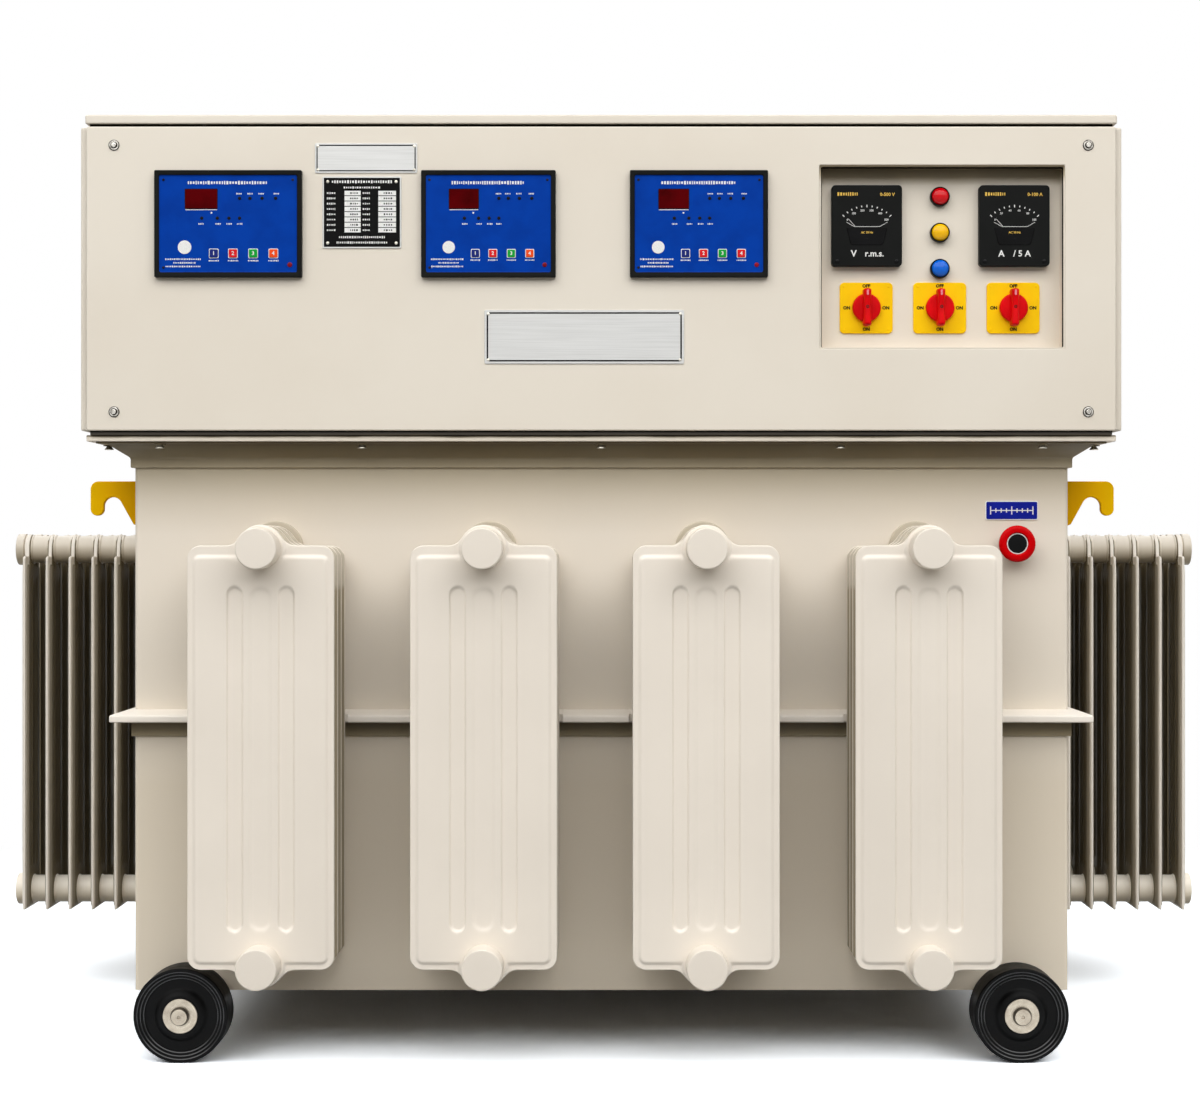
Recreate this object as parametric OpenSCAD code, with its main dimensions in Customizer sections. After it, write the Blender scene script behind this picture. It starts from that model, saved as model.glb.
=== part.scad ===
// Oil-cooled servo voltage stabilizer: a steel oil tank on four wheels, with pressed-steel
// radiators on all sides and a control cabinet bolted to its top flange.
// Millimetres, +Z up. The front faces -Y. The origin is on the floor under the tank's centre.

/* [Tank] */
// Width of the oil tank
tank_width = 1360; // [1200:10:1800]
// Depth of the oil tank
tank_depth = 1200; // [960:10:1800]
// Height of the tank's walls
tank_height = 763; // [690:1:1000]
// Height of the tank's underside above the floor
tank_clearance = 91; // [86:1:160]
// Radius of the tank's upright edges
tank_edge_radius = 6; // [2:0.5:15]

/* [Tank trim] */
// Height of the stiffener rail's underside above the tank's underside
rail_height = 391.5; // [300:0.5:500]
// How far the stiffener rail stands out of the wall
rail_reach = 31; // [15:1:36]
// Thickness of the rail at its outer edge
rail_edge = 10.5; // [5:0.5:20]
// How much the rail's top slopes down to its edge
rail_slope = 7; // [0:0.5:15]
// Height of the rail's leg down the wall
rail_leg = 21.5; // [10:0.5:40]
// Thickness of the rail's leg
rail_leg_thickness = 4; // [3:0.5:10]
// How far the rim band stands out of the wall
rim_reach = 5; // [3:0.5:10]
// Height of the rim band
rim_height = 12; // [6:0.5:20]
// How far the flared skirt stands out at its top
skirt_reach = 33.5; // [12:0.5:34]
// Height of the flared skirt
skirt_height = 19; // [8:0.5:25]
// Thickness of the mounting flange
flange_thickness = 3; // [2:0.5:12]
// How far the mounting flange stands out of the wall
flange_reach = 47; // [46:1:56]

/* [Lifting lugs] */
// How far a lug reaches out from the wall
lug_reach = 95; // [75:1:120]
// Thickness of a lug's plate
lug_thickness = 12; // [8:1:20]
// Radius of the sling notch
lug_notch_radius = 14; // [8:0.5:16]
// Distance from a lug's plate to the tank's front or rear wall
lug_inset = 150; // [80:5:300]

/* [Wheels] */
// Radius of a wheel
wheel_radius = 67.5; // [58:0.5:70]
// Width of a wheel
wheel_width = 60; // [40:1:80]
// Gap between a wheel and the plane of the tank's wall
wheel_gap = 18; // [8:1:30]
// Distance from a wheel's centre to the tank's side
wheel_inset = 80; // [70:1:140]
// Radius of an axle
axle_radius = 12; // [9:0.5:15]

/* [Front and rear radiators] */
// Number of radiators in a row
row_count = 4; // [2:1:4]
// Width of a radiator's elements
row_width = 205; // [160:1:226]
// Distance from the row to the tank's side edges
row_margin = 112; // [100:1:160]
// Sideways offset of the front row from the tank's centre
row_offset = -8; // [-20:1:20]
// Number of elements in each radiator
row_elements = 4; // [2:1:4]
// Distance between the elements
row_pitch = 45; // [38:1:50]
// Distance from the wall to the middle of the nearest element
row_standoff = 23; // [20:1:40]
// Radius of the row's header pipes
row_pipe_radius = 25; // [20:0.5:28]
// Radius of the header pipes' end caps
row_cap_radius = 28.6; // [24:0.1:32]
// Height of the lower header pipes above the tank's underside
row_low_header = 63.5; // [58:0.5:90]
// Distance between the header pipes' centres
row_header_span = 579.5; // [480:0.5:600]
// How far the elements run past the upper header pipes' centres
row_overrun_top = 4.5; // [2:0.5:20]
// How far the elements run past the lower header pipes' centres
row_overrun_bottom = 8; // [2:0.5:20]

/* [Side radiators] */
// Width of a side radiator's elements
side_width = 100; // [80:1:140]
// Distance between the two radiators on a side
side_spacing = 112; // [110:1:200]
// Number of elements in each side radiator
side_elements = 7; // [3:1:8]
// Distance between the elements
side_pitch = 37.8; // [34:0.1:45]
// Distance from the wall to the middle of the nearest element
side_standoff = 52; // [40:1:70]
// Radius of the side header pipes
side_pipe_radius = 22.5; // [18:0.5:24]
// Radius of the side header pipes' end caps
side_cap_radius = 26; // [22:0.1:30]
// Height of the lower side header pipes above the tank's underside
side_low_header = 75; // [70:0.5:100]
// Distance between the side header pipes' centres
side_header_span = 567; // [480:1:580]
// How far the side elements' shoulders stand below the upper header pipes' centres
side_shoulder_drop = 11; // [-10:0.5:15]
// How far the side elements run past the lower header pipes' centres
side_overrun_bottom = 35; // [10:0.5:40]

/* [Radiator elements] */
// Thickness of an element's welded edge
element_edge = 6; // [4:0.5:8]
// Thickness of an element over its raised field
element_thickness = 12; // [9:0.5:16]
// Width of an element's flat border
element_border = 9; // [6:0.5:14]
// Corner radius of an element
element_corner = 19; // [10:1:30]
// How much wider than the pipe a front or rear element's collar is
row_collar_extra = 6; // [3:0.5:8]
// How much wider than the pipe a side element's collar is
side_collar_extra = 2.5; // [1.5:0.5:6]
// Length of the front and rear header pipes' end caps
row_cap_length = 48; // [14:1:60]
// Length of the side header pipes' end caps
side_cap_length = 14; // [12:1:30]
// Radius of a header pipe's wall flange
wall_flange_radius = 40; // [32:0.5:46]
// Thickness of a header pipe's wall flange
wall_flange_thickness = 9; // [6:0.5:12]

/* [Oil gauge] */
// Radius of the oil gauge's body
gauge_radius = 26.6; // [20:0.1:32]
// How far the oil gauge stands out of the wall
gauge_reach = 35; // [20:1:50]
// Distance from the oil gauge to the tank's side edge
gauge_inset = 79; // [60:1:90]
// Distance from the oil gauge down from the tank's top
gauge_drop = 113; // [100:1:130]
// Width of the oil label
label_width = 77; // [50:1:90]
// Height of the oil label
label_height = 28; // [16:1:30]

/* [Cabinet] */
// How far the cabinet overhangs the tank on every side
cabinet_overhang = 60; // [58:1:90]
// Height of the cabinet from its base pan to the top of its lid
cabinet_height = 468; // [400:1:600]
// Height of the base pan's lip
pan_height = 9; // [6:0.5:14]
// How far the base pan's front and rear edges stand behind the panels
pan_inset = 8; // [0:1:12]
// Height of the lid's lip
lid_height = 13; // [8:0.5:20]
// Radius of the lid's rounded edges
lid_edge_radius = 4; // [2:0.5:6]
// Shadow gap between the front panel and the base pan
panel_gap_bottom = 6; // [3:0.5:10]
// Shadow gap between the front panel and the lid
panel_gap_top = 4; // [2:0.5:8]
// Thickness of the front and back panels
panel_thickness = 4; // [2:0.5:6]
// How far the front and back panels stop short of the lid's side edges
panel_setback = 2; // [1:0.5:5]
// How far the housing's walls lie inside the lid's side edges
housing_setback = 7; // [5:0.5:12]
// How far the side covers stand out past the lid
cover_reach = 8; // [4:0.5:12]
// How far the side covers stop short of the cabinet's front and rear
cover_margin = 10; // [6:1:30]
// Distance from the cover screws to the panels' side edges
screw_inset = 40; // [25:1:60]
// Distance from the cover screws to the panels' upper and lower edges
screw_drop = 27; // [18:1:40]
// Radius of a cover screw's head
screw_radius = 6.5; // [4:0.5:8]

/* [Controllers] */
// Widths of the three controllers, from the left
controller_widths = [211, 192.5, 197.5];
// Height of a controller
controller_height = 153; // [110:1:165]
// How far a controller stands out of the panel
controller_reach = 10; // [6:0.5:20]
// Width of a controller's bezel
bezel_width = 7; // [4:0.5:10]

/* [Plates] */
// Width of the small name plate
small_plate_width = 146.5; // [115:0.5:160]
// Height of the small name plate
small_plate_height = 42.5; // [20:0.5:44]
// Clear space at each side of the small name plate
small_plate_space = 12; // [4:0.5:20]
// Sideways offset of the small name plate from the middle of its space
small_plate_shift = 6; // [0:0.5:8]
// Width of the rating plate
rating_plate_width = 113; // [80:1:125]
// Height of the rating plate
rating_plate_height = 103; // [70:1:112]
// Width of the large name plate
large_plate_width = 286; // [200:1:330]
// Height of the large name plate
large_plate_height = 77; // [50:1:90]
// Sideways offset of the large name plate from the middle controller
large_plate_shift = 137; // [0:1:160]
// Thickness of the plates
plate_thickness = 1.6; // [1:0.1:3]

/* [Instrument tray] */
// Width of the opening in the front panel
tray_width = 352; // [330:1:400]
// Height of the opening in the front panel
tray_height = 263.5; // [262:0.5:320]
// Depth of the tray behind the panel's face
tray_depth = 30; // [24:1:60]
// Thickness of the tray's sheet
tray_sheet = 2; // [1:0.5:3]
// Width of a meter
meter_width = 101.5; // [90:0.5:104]
// Height of a meter
meter_height = 117; // [100:0.5:120]
// How far a meter stands out of the tray's back
meter_reach = 14; // [8:0.5:20]
// Radius of a pilot lamp's bezel
lamp_radius = 14.2; // [11:0.1:15]
// Distance between the pilot lamps
lamp_pitch = 52; // [45:0.5:54]
// Width of a switch plate
switch_plate_width = 76.5; // [60:0.5:90]
// Height of a switch plate
switch_plate_height = 73.5; // [60:0.5:76]
// Radius of a selector knob's base
knob_radius = 20.5; // [15:0.5:24]
// Length of a selector knob's handle
knob_handle_length = 55; // [40:1:60]
// Width of a selector knob's handle
knob_handle_width = 13; // [8:0.5:16]
// How far a selector knob stands out of its plate
knob_reach = 24; // [16:1:30]

/* [Hidden] */
$fn = 64;
round_fn = 96;
paint = [0.86, 0.82, 0.75];
tank_paint = [0.83, 0.79, 0.72];
steel = [0.75, 0.75, 0.76];
black = [0.05, 0.05, 0.05];
fit = 0.2;                  // radial clearance of an element's hole on its header pipe
running_fit = 0.05;         // radial clearance of a turning piece on its shaft
seat = 0.3;                 // gap left where curved pieces meet

half_w = tank_width / 2;
half_d = tank_depth / 2;
tank_bottom = tank_clearance;
tank_top = tank_bottom + tank_height;
rail_z = tank_bottom + rail_height;
rail_clearance = 5;         // between the rail and a radiator
notch_reach = row_standoff - element_thickness / 2 - rail_clearance;
rim_top = tank_top + rim_height;
skirt_top = rim_top + skirt_height;
flange_top = skirt_top + flange_thickness;

cab_half_w = half_w + cabinet_overhang;
cab_half_d = half_d + cabinet_overhang;
cab_bottom = flange_top;
cab_top = cab_bottom + cabinet_height;
pan_top = cab_bottom + pan_height;
lid_bottom = cab_top - lid_height;
panel_bottom = pan_top + panel_gap_bottom;
panel_top = lid_bottom - panel_gap_top;
panel_height = panel_top - panel_bottom;
panel_half_w = cab_half_w - panel_setback;
housing_half_w = cab_half_w - housing_setback;
housing_half_d = cab_half_d - panel_thickness;
front_face = -cab_half_d;

// the spare width of the front panel is shared out between the fittings
plate_gap = small_plate_width + 2 * small_plate_space;
spare_width = 2 * panel_half_w - tray_width - plate_gap
    - controller_widths[0] - controller_widths[1] - controller_widths[2];
controller_x = [
    -panel_half_w + 0.281 * spare_width + controller_widths[0] / 2,
    -panel_half_w + 0.281 * spare_width + controller_widths[0] + plate_gap + controller_widths[1] / 2,
    -panel_half_w + 0.582 * spare_width + controller_widths[0] + plate_gap + controller_widths[1]
        + controller_widths[2] / 2];
plates_x = controller_x[0] + controller_widths[0] / 2 + plate_gap / 2;
tray_x = panel_half_w - 0.208 * spare_width - tray_width / 2;
small_plate_x = plates_x + small_plate_shift;
large_plate_x = controller_x[1] + large_plate_shift;

// so is its spare height
spare_height = panel_height - controller_height - large_plate_height;
controller_z = panel_top - 0.31 * spare_height - controller_height / 2;
large_plate_z = panel_bottom + 0.465 * spare_height + large_plate_height / 2;
small_plate_z = controller_z + controller_height / 2 + small_plate_height / 2 - 3;
rating_plate_z = controller_z - controller_height / 2 + 42 + rating_plate_height / 2;
tray_z = panel_top - 0.32 * (panel_height - tray_height) - tray_height / 2;
tray_back = front_face + tray_depth;

// rows in the tray: meters above, switches below
tray_row_space = (tray_height - meter_height - switch_plate_height) / 3;
meter_z = tray_z + tray_height / 2 - tray_row_space - meter_height / 2 - 2;
lamp_z = meter_z - 9;
switch_z = tray_z - tray_height / 2 + tray_row_space + switch_plate_height / 2;
meter_x = tray_width / 2 - 19 - meter_width / 2;
switch_pitch = (tray_width - 3 * switch_plate_width) / 4 + switch_plate_width - 1;
switch_plate_thickness = 3;
spindle_radius = 4;

row_pitch_x = (tank_width - 2 * row_margin - row_width) / (row_count - 1);
row_low_z = tank_bottom + row_low_header;
row_high_z = row_low_z + row_header_span;
side_low_z = tank_bottom + side_low_header;
side_high_z = side_low_z + side_header_span;
row_last = row_standoff + (row_elements - 1) * row_pitch;     // middle of the outermost element
side_last = side_standoff + (side_elements - 1) * side_pitch;

wheel_x = half_w - wheel_inset;
wheel_y = half_d + wheel_gap + wheel_width / 2;
washer_radius = 26;
washer_thickness = 4;
bracket_thickness = 30;
bracket_y = half_d - 45;
bracket_drop = axle_radius + 13;

gauge_x = half_w - gauge_inset;
gauge_z = tank_top - gauge_drop;
label_x = gauge_x - 3.5;
label_z = gauge_z + gauge_radius + 8 + label_height / 2;

// ---- shapes used by several pieces

// rectangle with round corners, centred
module round_rect(w, h, r) {
    square([w - 2 * r, h], center = true);
    square([w, h - 2 * r], center = true);
    for (x = [-1, 1], y = [-1, 1])
        translate([x * (w / 2 - r), y * (h / 2 - r)]) circle(r);
}

// a band round the tank: the profile lists [reach from the wall, height], bottom to top
module wrap(profile) {
    reach = max([for (p = profile) p[0]]);
    last = len(profile) - 1;
    intersection() {
        rotate([90, 0, 0]) linear_extrude(2 * (half_d + reach), center = true)
            polygon(concat([for (p = profile) [half_w + p[0], p[1]]],
                [for (i = [last:-1:0]) [-half_w - profile[i][0], profile[i][1]]]));
        rotate([90, 0, 90]) linear_extrude(2 * (half_w + reach), center = true)
            polygon(concat([for (p = profile) [half_d + p[0], p[1]]],
                [for (i = [last:-1:0]) [-half_d - profile[i][0], profile[i][1]]]));
    }
}

// the tank's outline, for the body and for what wraps round it
module tank_outline(gap = 0) {
    round_rect(tank_width + 2 * gap, tank_depth + 2 * gap, tank_edge_radius + gap);
}

// puts an upright XY outline on the front, facing -Y, from depth y inwards
module facing_front(x, z, y, depth) {
    translate([x, y + depth, z]) rotate([90, 0, 0]) linear_extrude(depth) children();
}

// places its children on the cover screws of a panel lying in XZ
module at_corners(half_x, half_z, inset, drop) {
    for (x = [-1, 1], z = [-1, 1])
        translate([x * (half_x - inset), 0, z * (half_z - drop)]) children();
}

// ---- tank

module tank_body() {
    color(tank_paint) translate([0, 0, tank_bottom]) linear_extrude(tank_height) tank_outline();
}

module rim_skirt() {
    color(tank_paint) difference() {
        wrap([[rim_reach, tank_top - rim_height], [rim_reach, rim_top], [skirt_reach, skirt_top]]);
        translate([0, 0, tank_top - rim_height - 1]) linear_extrude(rim_height + 1)
            tank_outline(fit);
    }
}

module mounting_flange() {
    color(tank_paint) translate([0, 0, skirt_top]) linear_extrude(flange_thickness)
        square([tank_width, tank_depth] + [2, 2] * flange_reach, center = true);
}

// nuts and bolt ends that hang under the flange's edge
module flange_nuts() {
    nut_height = 5;
    nut_radius = 6;
    edge = (skirt_reach + flange_reach) / 2;
    module nut() {
        translate([0, 0, skirt_top - nut_height]) cylinder(h = nut_height, r = nut_radius, $fn = 6);
        translate([0, 0, skirt_top - nut_height - 3]) cylinder(h = 3, r = nut_radius / 2);
    }
    color(steel) {
        for (x = [-0.935, -0.507, 0, 0.507, 0.935], y = [-1, 1])
            translate([x * half_w, y * (half_d + edge), 0]) nut();
        for (y = [-0.975, 0, 0.975], x = [-1, 1])
            translate([x * (half_w + edge), y * half_d, 0]) nut();
    }
}

module stiffener_rail() {
    top = rail_z + rail_edge + rail_slope;
    color(tank_paint) difference() {
        wrap([[rail_leg_thickness, rail_z - rail_leg], [rail_leg_thickness, rail_z],
            [rail_reach, rail_z], [rail_reach, rail_z + rail_edge], [fit, top]]);
        translate([0, 0, rail_z - rail_leg - 1])
            linear_extrude(rail_leg + rail_edge + rail_slope + 2) tank_outline(fit);
        // the rail is cut narrower behind each radiator, clear of its nearest element
        for (i = [1:row_count], side = [-1, 1])
            translate([row_x(i), side * (half_d + notch_reach + rail_reach), rail_z])
                cube([row_width + 2 * rail_clearance, 2 * rail_reach, 4 * rail_reach], center = true);
    }
}

// a hook plate welded to the side wall, with a notch for a sling that opens downwards
module lug() {
    lobe = 10;
    notch_x = lug_reach - 2 * lobe - lug_notch_radius;
    crown = 18;
    corner = 12;
    // the web's slanted edge starts at the toe and meets the notch where it touches it
    toe = [30, -47];
    span = [notch_x, -20] - toe;
    cut = lug_notch_radius - 0.4;
    slant = atan2(span[1], span[0]) + asin(cut / norm(span));
    touch = toe + sqrt(norm(span) * norm(span) - cut * cut) * [cos(slant), sin(slant)];
    translate([0, lug_thickness / 2, 0]) rotate([90, 0, 0]) linear_extrude(lug_thickness)
        difference() {
            union() {
                square([lug_reach - corner, crown]);
                square([lug_reach, crown - corner]);
                translate([lug_reach - corner, crown - corner]) circle(corner);
                translate([0, -lobe - 14]) square([lug_reach, lobe + 14]);
                translate([lug_reach - lobe, -lobe - 14]) circle(lobe);
                polygon([[0, -60], [0, 0], [notch_x, 0], touch, toe]);
            }
            translate([notch_x, -20]) circle(lug_notch_radius);
            polygon([toe, touch, [notch_x, -20], [notch_x + lug_notch_radius, -20],
                [notch_x + lug_notch_radius, -80], [toe[0], -80]]);
        }
}

module lifting_lugs() {
    color([0.93, 0.69, 0.04])
        for (x = [0, 1], y = [-1, 1])
            mirror([x, 0, 0]) translate([half_w, y * (half_d - lug_inset), tank_top - 36]) lug();
}

module oil_gauge() {
    color([0.75, 0.1, 0.08]) translate([gauge_x, -half_d, gauge_z]) rotate([90, 0, 0])
        difference() {
            union() {
                cylinder(h = gauge_reach - 14, r = gauge_radius - 5);
                translate([0, 0, gauge_reach - 14]) cylinder(h = 14, r = gauge_radius);
            }
            translate([0, 0, gauge_reach - 4]) cylinder(h = 5, r = gauge_radius * 0.6);
        }
}

module oil_label() {
    color([0.1, 0.13, 0.3]) facing_front(label_x, label_z, -half_d - plate_thickness, plate_thickness)
        round_rect(label_width, label_height, 2);
}

// ---- running gear

module axle_brackets() {
    color([0.2, 0.2, 0.2])
        for (x = [-1, 1], y = [-1, 1])
            translate([x * wheel_x, y * bracket_y, 0]) rotate([90, 0, 0])
                linear_extrude(bracket_thickness, center = true) difference() {
                    union() {
                        translate([-35, wheel_radius]) square([70, tank_bottom - wheel_radius]);
                        translate([0, wheel_radius]) circle(bracket_drop);
                        translate([-bracket_drop, wheel_radius])
                            square([2 * bracket_drop, tank_bottom - wheel_radius]);
                    }
                    translate([0, wheel_radius]) circle(axle_radius + fit);
                    translate([-bracket_drop, tank_bottom]) square(2 * bracket_drop);
                }
}

// one axle runs under the tank and carries a front and a rear wheel between collars and washers
module axle(x) {
    end = wheel_y + wheel_width / 2;
    collar_start = bracket_y + bracket_thickness / 2 + seat;
    half = [
        [0, 0], [axle_radius, 0], [axle_radius, collar_start], [axle_radius + 8, collar_start],
        [axle_radius + 8, end - wheel_width - 0.5], [axle_radius, end - wheel_width - 0.5],
        [axle_radius, end + 0.5], [washer_radius, end + 0.5],
        [washer_radius, end + 0.5 + washer_thickness], [axle_radius, end + 0.5 + washer_thickness],
        [axle_radius, end + 12], [0, end + 12]];
    color(steel) translate([x, 0, wheel_radius])
        for (side = [-1, 1])
            rotate([side * 90, 0, 0]) rotate_extrude($fn = round_fn) polygon(half);
}

module axles() {
    axle(-wheel_x);
    axle(wheel_x);
}

module wheel(x, y) {
    rim = 8;
    dish = 7;
    hub = 27;
    bore = axle_radius + running_fit;
    w = wheel_width / 2;
    color(black) translate([x, y, wheel_radius]) rotate([90, 0, 0])
        rotate_extrude($fn = round_fn) polygon([
            [bore, -w], [hub, -w], [hub, dish - w], [wheel_radius - rim, dish - w],
            [wheel_radius - rim, -w], [wheel_radius - 3, -w], [wheel_radius, 3 - w],
            [wheel_radius, w - 3], [wheel_radius - 3, w], [wheel_radius - rim, w],
            [wheel_radius - rim, w - dish], [hub, w - dish], [hub, w], [bore, w]]);
}

// ---- radiators

// one pressed element, lying in XY with its header holes on the Y axis, centred on Z
module element(width, low, high, over_low, over_high, pipe, collar_extra) {
    height = high - low + over_low + over_high;
    middle = (high + over_high + low - over_low) / 2;
    collar = pipe + collar_extra;
    field_top = high - collar - 21;
    field_bottom = low + collar + 14;
    difference() {
        union() {
            translate([0, middle, -element_edge / 2]) linear_extrude(element_edge)
                round_rect(width, height, element_corner);
            translate([0, middle, -element_thickness / 2]) linear_extrude(element_thickness)
                round_rect(width - 2 * element_border, height - 2 * element_border,
                    element_corner - element_border / 2);
            for (y = [low, high])
                translate([0, y, -element_thickness / 2])
                    cylinder(h = element_thickness, r = collar);
        }
        for (y = [low, high])
            translate([0, y, -element_thickness]) cylinder(h = 2 * element_thickness, r = pipe + fit);
        // pressed flutes: a wide one in the middle and a narrow one at each side of it
        for (side = [-1, 1], flute = [[0, 0.18], [-0.173, 0.1], [0.173, 0.1]])
            translate([flute[0] * width, (field_top + field_bottom) / 2,
                    side * (element_thickness / 2)])
                linear_extrude(3, center = true)
                    round_rect(flute[1] * width, field_top - field_bottom, flute[1] * width / 2 - 0.1);
    }
}

// a radiator's elements, one behind the other along -Y from the wall
module element_stack(count, standoff, pitch, width, low, high, over_low, over_high, pipe,
    collar_extra) {
    for (i = [0:count - 1])
        translate([0, -standoff - i * pitch, 0]) rotate([90, 0, 0])
            element(width, low, high, over_low, over_high, pipe, collar_extra);
}

// a header pipe with its wall flange and a domed end cap, along -Y from the wall
module header(reach, pipe, cap, cap_length) {
    dome = 7;
    color(paint) rotate([90, 0, 0]) rotate_extrude($fn = round_fn) difference() {
        union() {
            square([wall_flange_radius, wall_flange_thickness]);
            square([pipe, reach - 2]);
            translate([0, reach - cap_length]) square([cap, cap_length - dome]);
            translate([cap - dome, reach - dome]) circle(dome);
            translate([0, reach - cap_length]) square([cap - dome, cap_length]);
        }
        translate([-cap, -1]) square([cap, reach + 2]);
    }
}

module row_radiator(x) {
    color(paint) translate([x, -half_d, 0])
        element_stack(row_elements, row_standoff, row_pitch, row_width, row_low_z, row_high_z,
            row_overrun_bottom, row_overrun_top, row_pipe_radius, row_collar_extra);
}

module side_radiator_pair() {
    color(paint)
        for (y = [-1, 1])
            rotate([0, 0, -90]) translate([y * side_spacing / 2, -half_w, 0])
                element_stack(side_elements, side_standoff, side_pitch, side_width, side_low_z,
                    side_high_z, side_overrun_bottom, -side_shoulder_drop, side_pipe_radius,
                    side_collar_extra);
}

function row_x(i) = row_offset + (i - (row_count + 1) / 2) * row_pitch_x;

module front_radiator(i) {
    if (i <= row_count) row_radiator(row_x(i));
}

module rear_radiators() {
    for (i = [1:row_count]) mirror([0, 1, 0]) row_radiator(row_x(i));
}

module front_headers() {
    for (i = [1:row_count], z = [row_low_z, row_high_z])
        translate([row_x(i), -half_d, z])
            header(row_last + element_thickness / 2 + seat + row_cap_length, row_pipe_radius,
                row_cap_radius, row_cap_length);
}

module left_headers() {
    for (y = [-1, 1], z = [side_low_z, side_high_z])
        rotate([0, 0, -90]) translate([y * side_spacing / 2, -half_w, z])
            header(side_last + element_thickness / 2 + seat + side_cap_length, side_pipe_radius,
                side_cap_radius, side_cap_length);
}

// ---- cabinet

module cabinet_base_pan() {
    color(paint) translate([0, 0, cab_bottom]) linear_extrude(pan_height)
        round_rect(2 * cab_half_w, 2 * (cab_half_d - pan_inset), 3);
}

module cabinet_housing() {
    pocket = tray_depth + tray_sheet - panel_thickness + seat;
    color(paint) difference() {
        translate([-housing_half_w, -housing_half_d, pan_top])
            cube([2 * housing_half_w, 2 * housing_half_d, lid_bottom - pan_top]);
        facing_front(tray_x, tray_z, -housing_half_d - 1, pocket + 1)
            square([tray_width, tray_height], center = true);
    }
}

module panel_outline() {
    square([2 * panel_half_w, panel_height], center = true);
}

module cabinet_front_panel() {
    color(paint) facing_front(0, (panel_top + panel_bottom) / 2, front_face, panel_thickness)
        difference() {
            panel_outline();
            translate([tray_x, tray_z - (panel_top + panel_bottom) / 2])
                square([tray_width, tray_height], center = true);
        }
}

module cabinet_back_panel() {
    color(paint) facing_front(0, (panel_top + panel_bottom) / 2, housing_half_d, panel_thickness)
        panel_outline();
}

module side_cover() {
    color(paint) translate([-cab_half_w - cover_reach, -cab_half_d + cover_margin, panel_bottom])
        cube([cover_reach + housing_setback, 2 * (cab_half_d - cover_margin), panel_height]);
}

module cabinet_lid() {
    r = lid_edge_radius;
    color(paint) intersection() {
        translate([0, 0, lid_bottom + lid_height / 2]) rotate([90, 0, 0])
            linear_extrude(2 * cab_half_d, center = true) round_rect(2 * cab_half_w, lid_height, r);
        translate([0, 0, lid_bottom + lid_height / 2]) rotate([90, 0, 90])
            linear_extrude(2 * cab_half_w, center = true) round_rect(2 * cab_half_d, lid_height, r);
    }
}

// a round-headed screw on a washer, its head towards -Y
module screw() {
    rotate([90, 0, 0]) {
        cylinder(h = 1.5, r = screw_radius + 2);
        cylinder(h = 5, r = screw_radius);
    }
}

module cover_screws() {
    cover_half_d = cab_half_d - cover_margin;
    color(steel) translate([0, 0, (panel_top + panel_bottom) / 2]) {
        for (turn = [0, 180])
            rotate([0, 0, turn]) translate([0, front_face, 0])
                at_corners(panel_half_w, panel_height / 2, screw_inset, screw_drop) screw();
        for (turn = [-90, 90])
            rotate([0, 0, turn]) translate([0, -cab_half_w - cover_reach, 0])
                at_corners(cover_half_d, panel_height / 2, screw_inset, screw_drop) screw();
    }
}

// ---- panel fittings

// a flush-mounted controller: bezel, face, display and four keys
module controller(i) {
    w = controller_widths[i];
    face = front_face - controller_reach;
    color(black) translate([controller_x[i], 0, controller_z]) difference() {
        facing_front(0, 0, face, controller_reach) round_rect(w, controller_height, 4);
        facing_front(0, 0, face - 1, 3.5)
            round_rect(w - 2 * bezel_width, controller_height - 2 * bezel_width, 3);
    }
    color([0, 0.25, 0.66]) translate([controller_x[i], 0, controller_z]) difference() {
        facing_front(0, 0, face + 1, 1.5)
            round_rect(w - 2 * bezel_width - 0.4, controller_height - 2 * bezel_width - 0.4, 3);
        facing_front(-w / 4, controller_height * 0.24, face, 2) square([44, 27], center = true);
    }
}

module plate(x, z, w, h, r) {
    facing_front(x, z, front_face - plate_thickness, plate_thickness) round_rect(w, h, r);
}

// small name plate, rating plate below it, and large name plate
module panel_plates() {
    color(steel) {
        plate(small_plate_x, small_plate_z, small_plate_width, small_plate_height, 2);
        plate(plates_x, rating_plate_z, rating_plate_width, rating_plate_height, 2);
        plate(large_plate_x, large_plate_z, large_plate_width, large_plate_height, 3);
    }
}

// ---- instrument tray

module instrument_tray() {
    color(paint) translate([tray_x, 0, tray_z]) difference() {
        facing_front(0, 0, front_face, tray_depth + tray_sheet)
            square([tray_width - 2 * fit, tray_height - 2 * fit], center = true);
        facing_front(0, 0, front_face - 1, tray_depth + 1)
            square([tray_width - 2 * tray_sheet, tray_height - 2 * tray_sheet], center = true);
    }
}

module meter(x) {
    color(black) translate([tray_x + x, 0, meter_z]) difference() {
        facing_front(0, 0, tray_back - meter_reach, meter_reach)
            round_rect(meter_width, meter_height, 9);
        facing_front(0, meter_height * 0.12, tray_back - meter_reach - 1, 3)
            round_rect(meter_width - 16, meter_height * 0.6, 5);
    }
}

module pilot_lamps() {
    color(black)
        for (i = [-1, 0, 1])
            translate([tray_x, tray_back, lamp_z + i * lamp_pitch]) rotate([90, 0, 0]) {
                cylinder(h = 9, r = lamp_radius);
                cylinder(h = 15, r = lamp_radius - 3.5);
            }
}

module switch_plates() {
    color([0.93, 0.8, 0.1])
        for (i = [-1, 0, 1])
            difference() {
                facing_front(tray_x + i * switch_pitch, switch_z, tray_back - switch_plate_thickness,
                    switch_plate_thickness)
                    round_rect(switch_plate_width, switch_plate_height, 3);
                translate([tray_x + i * switch_pitch, tray_back + 1, switch_z]) rotate([90, 0, 0])
                    cylinder(h = switch_plate_thickness + 2, r = spindle_radius + running_fit);
            }
}

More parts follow.
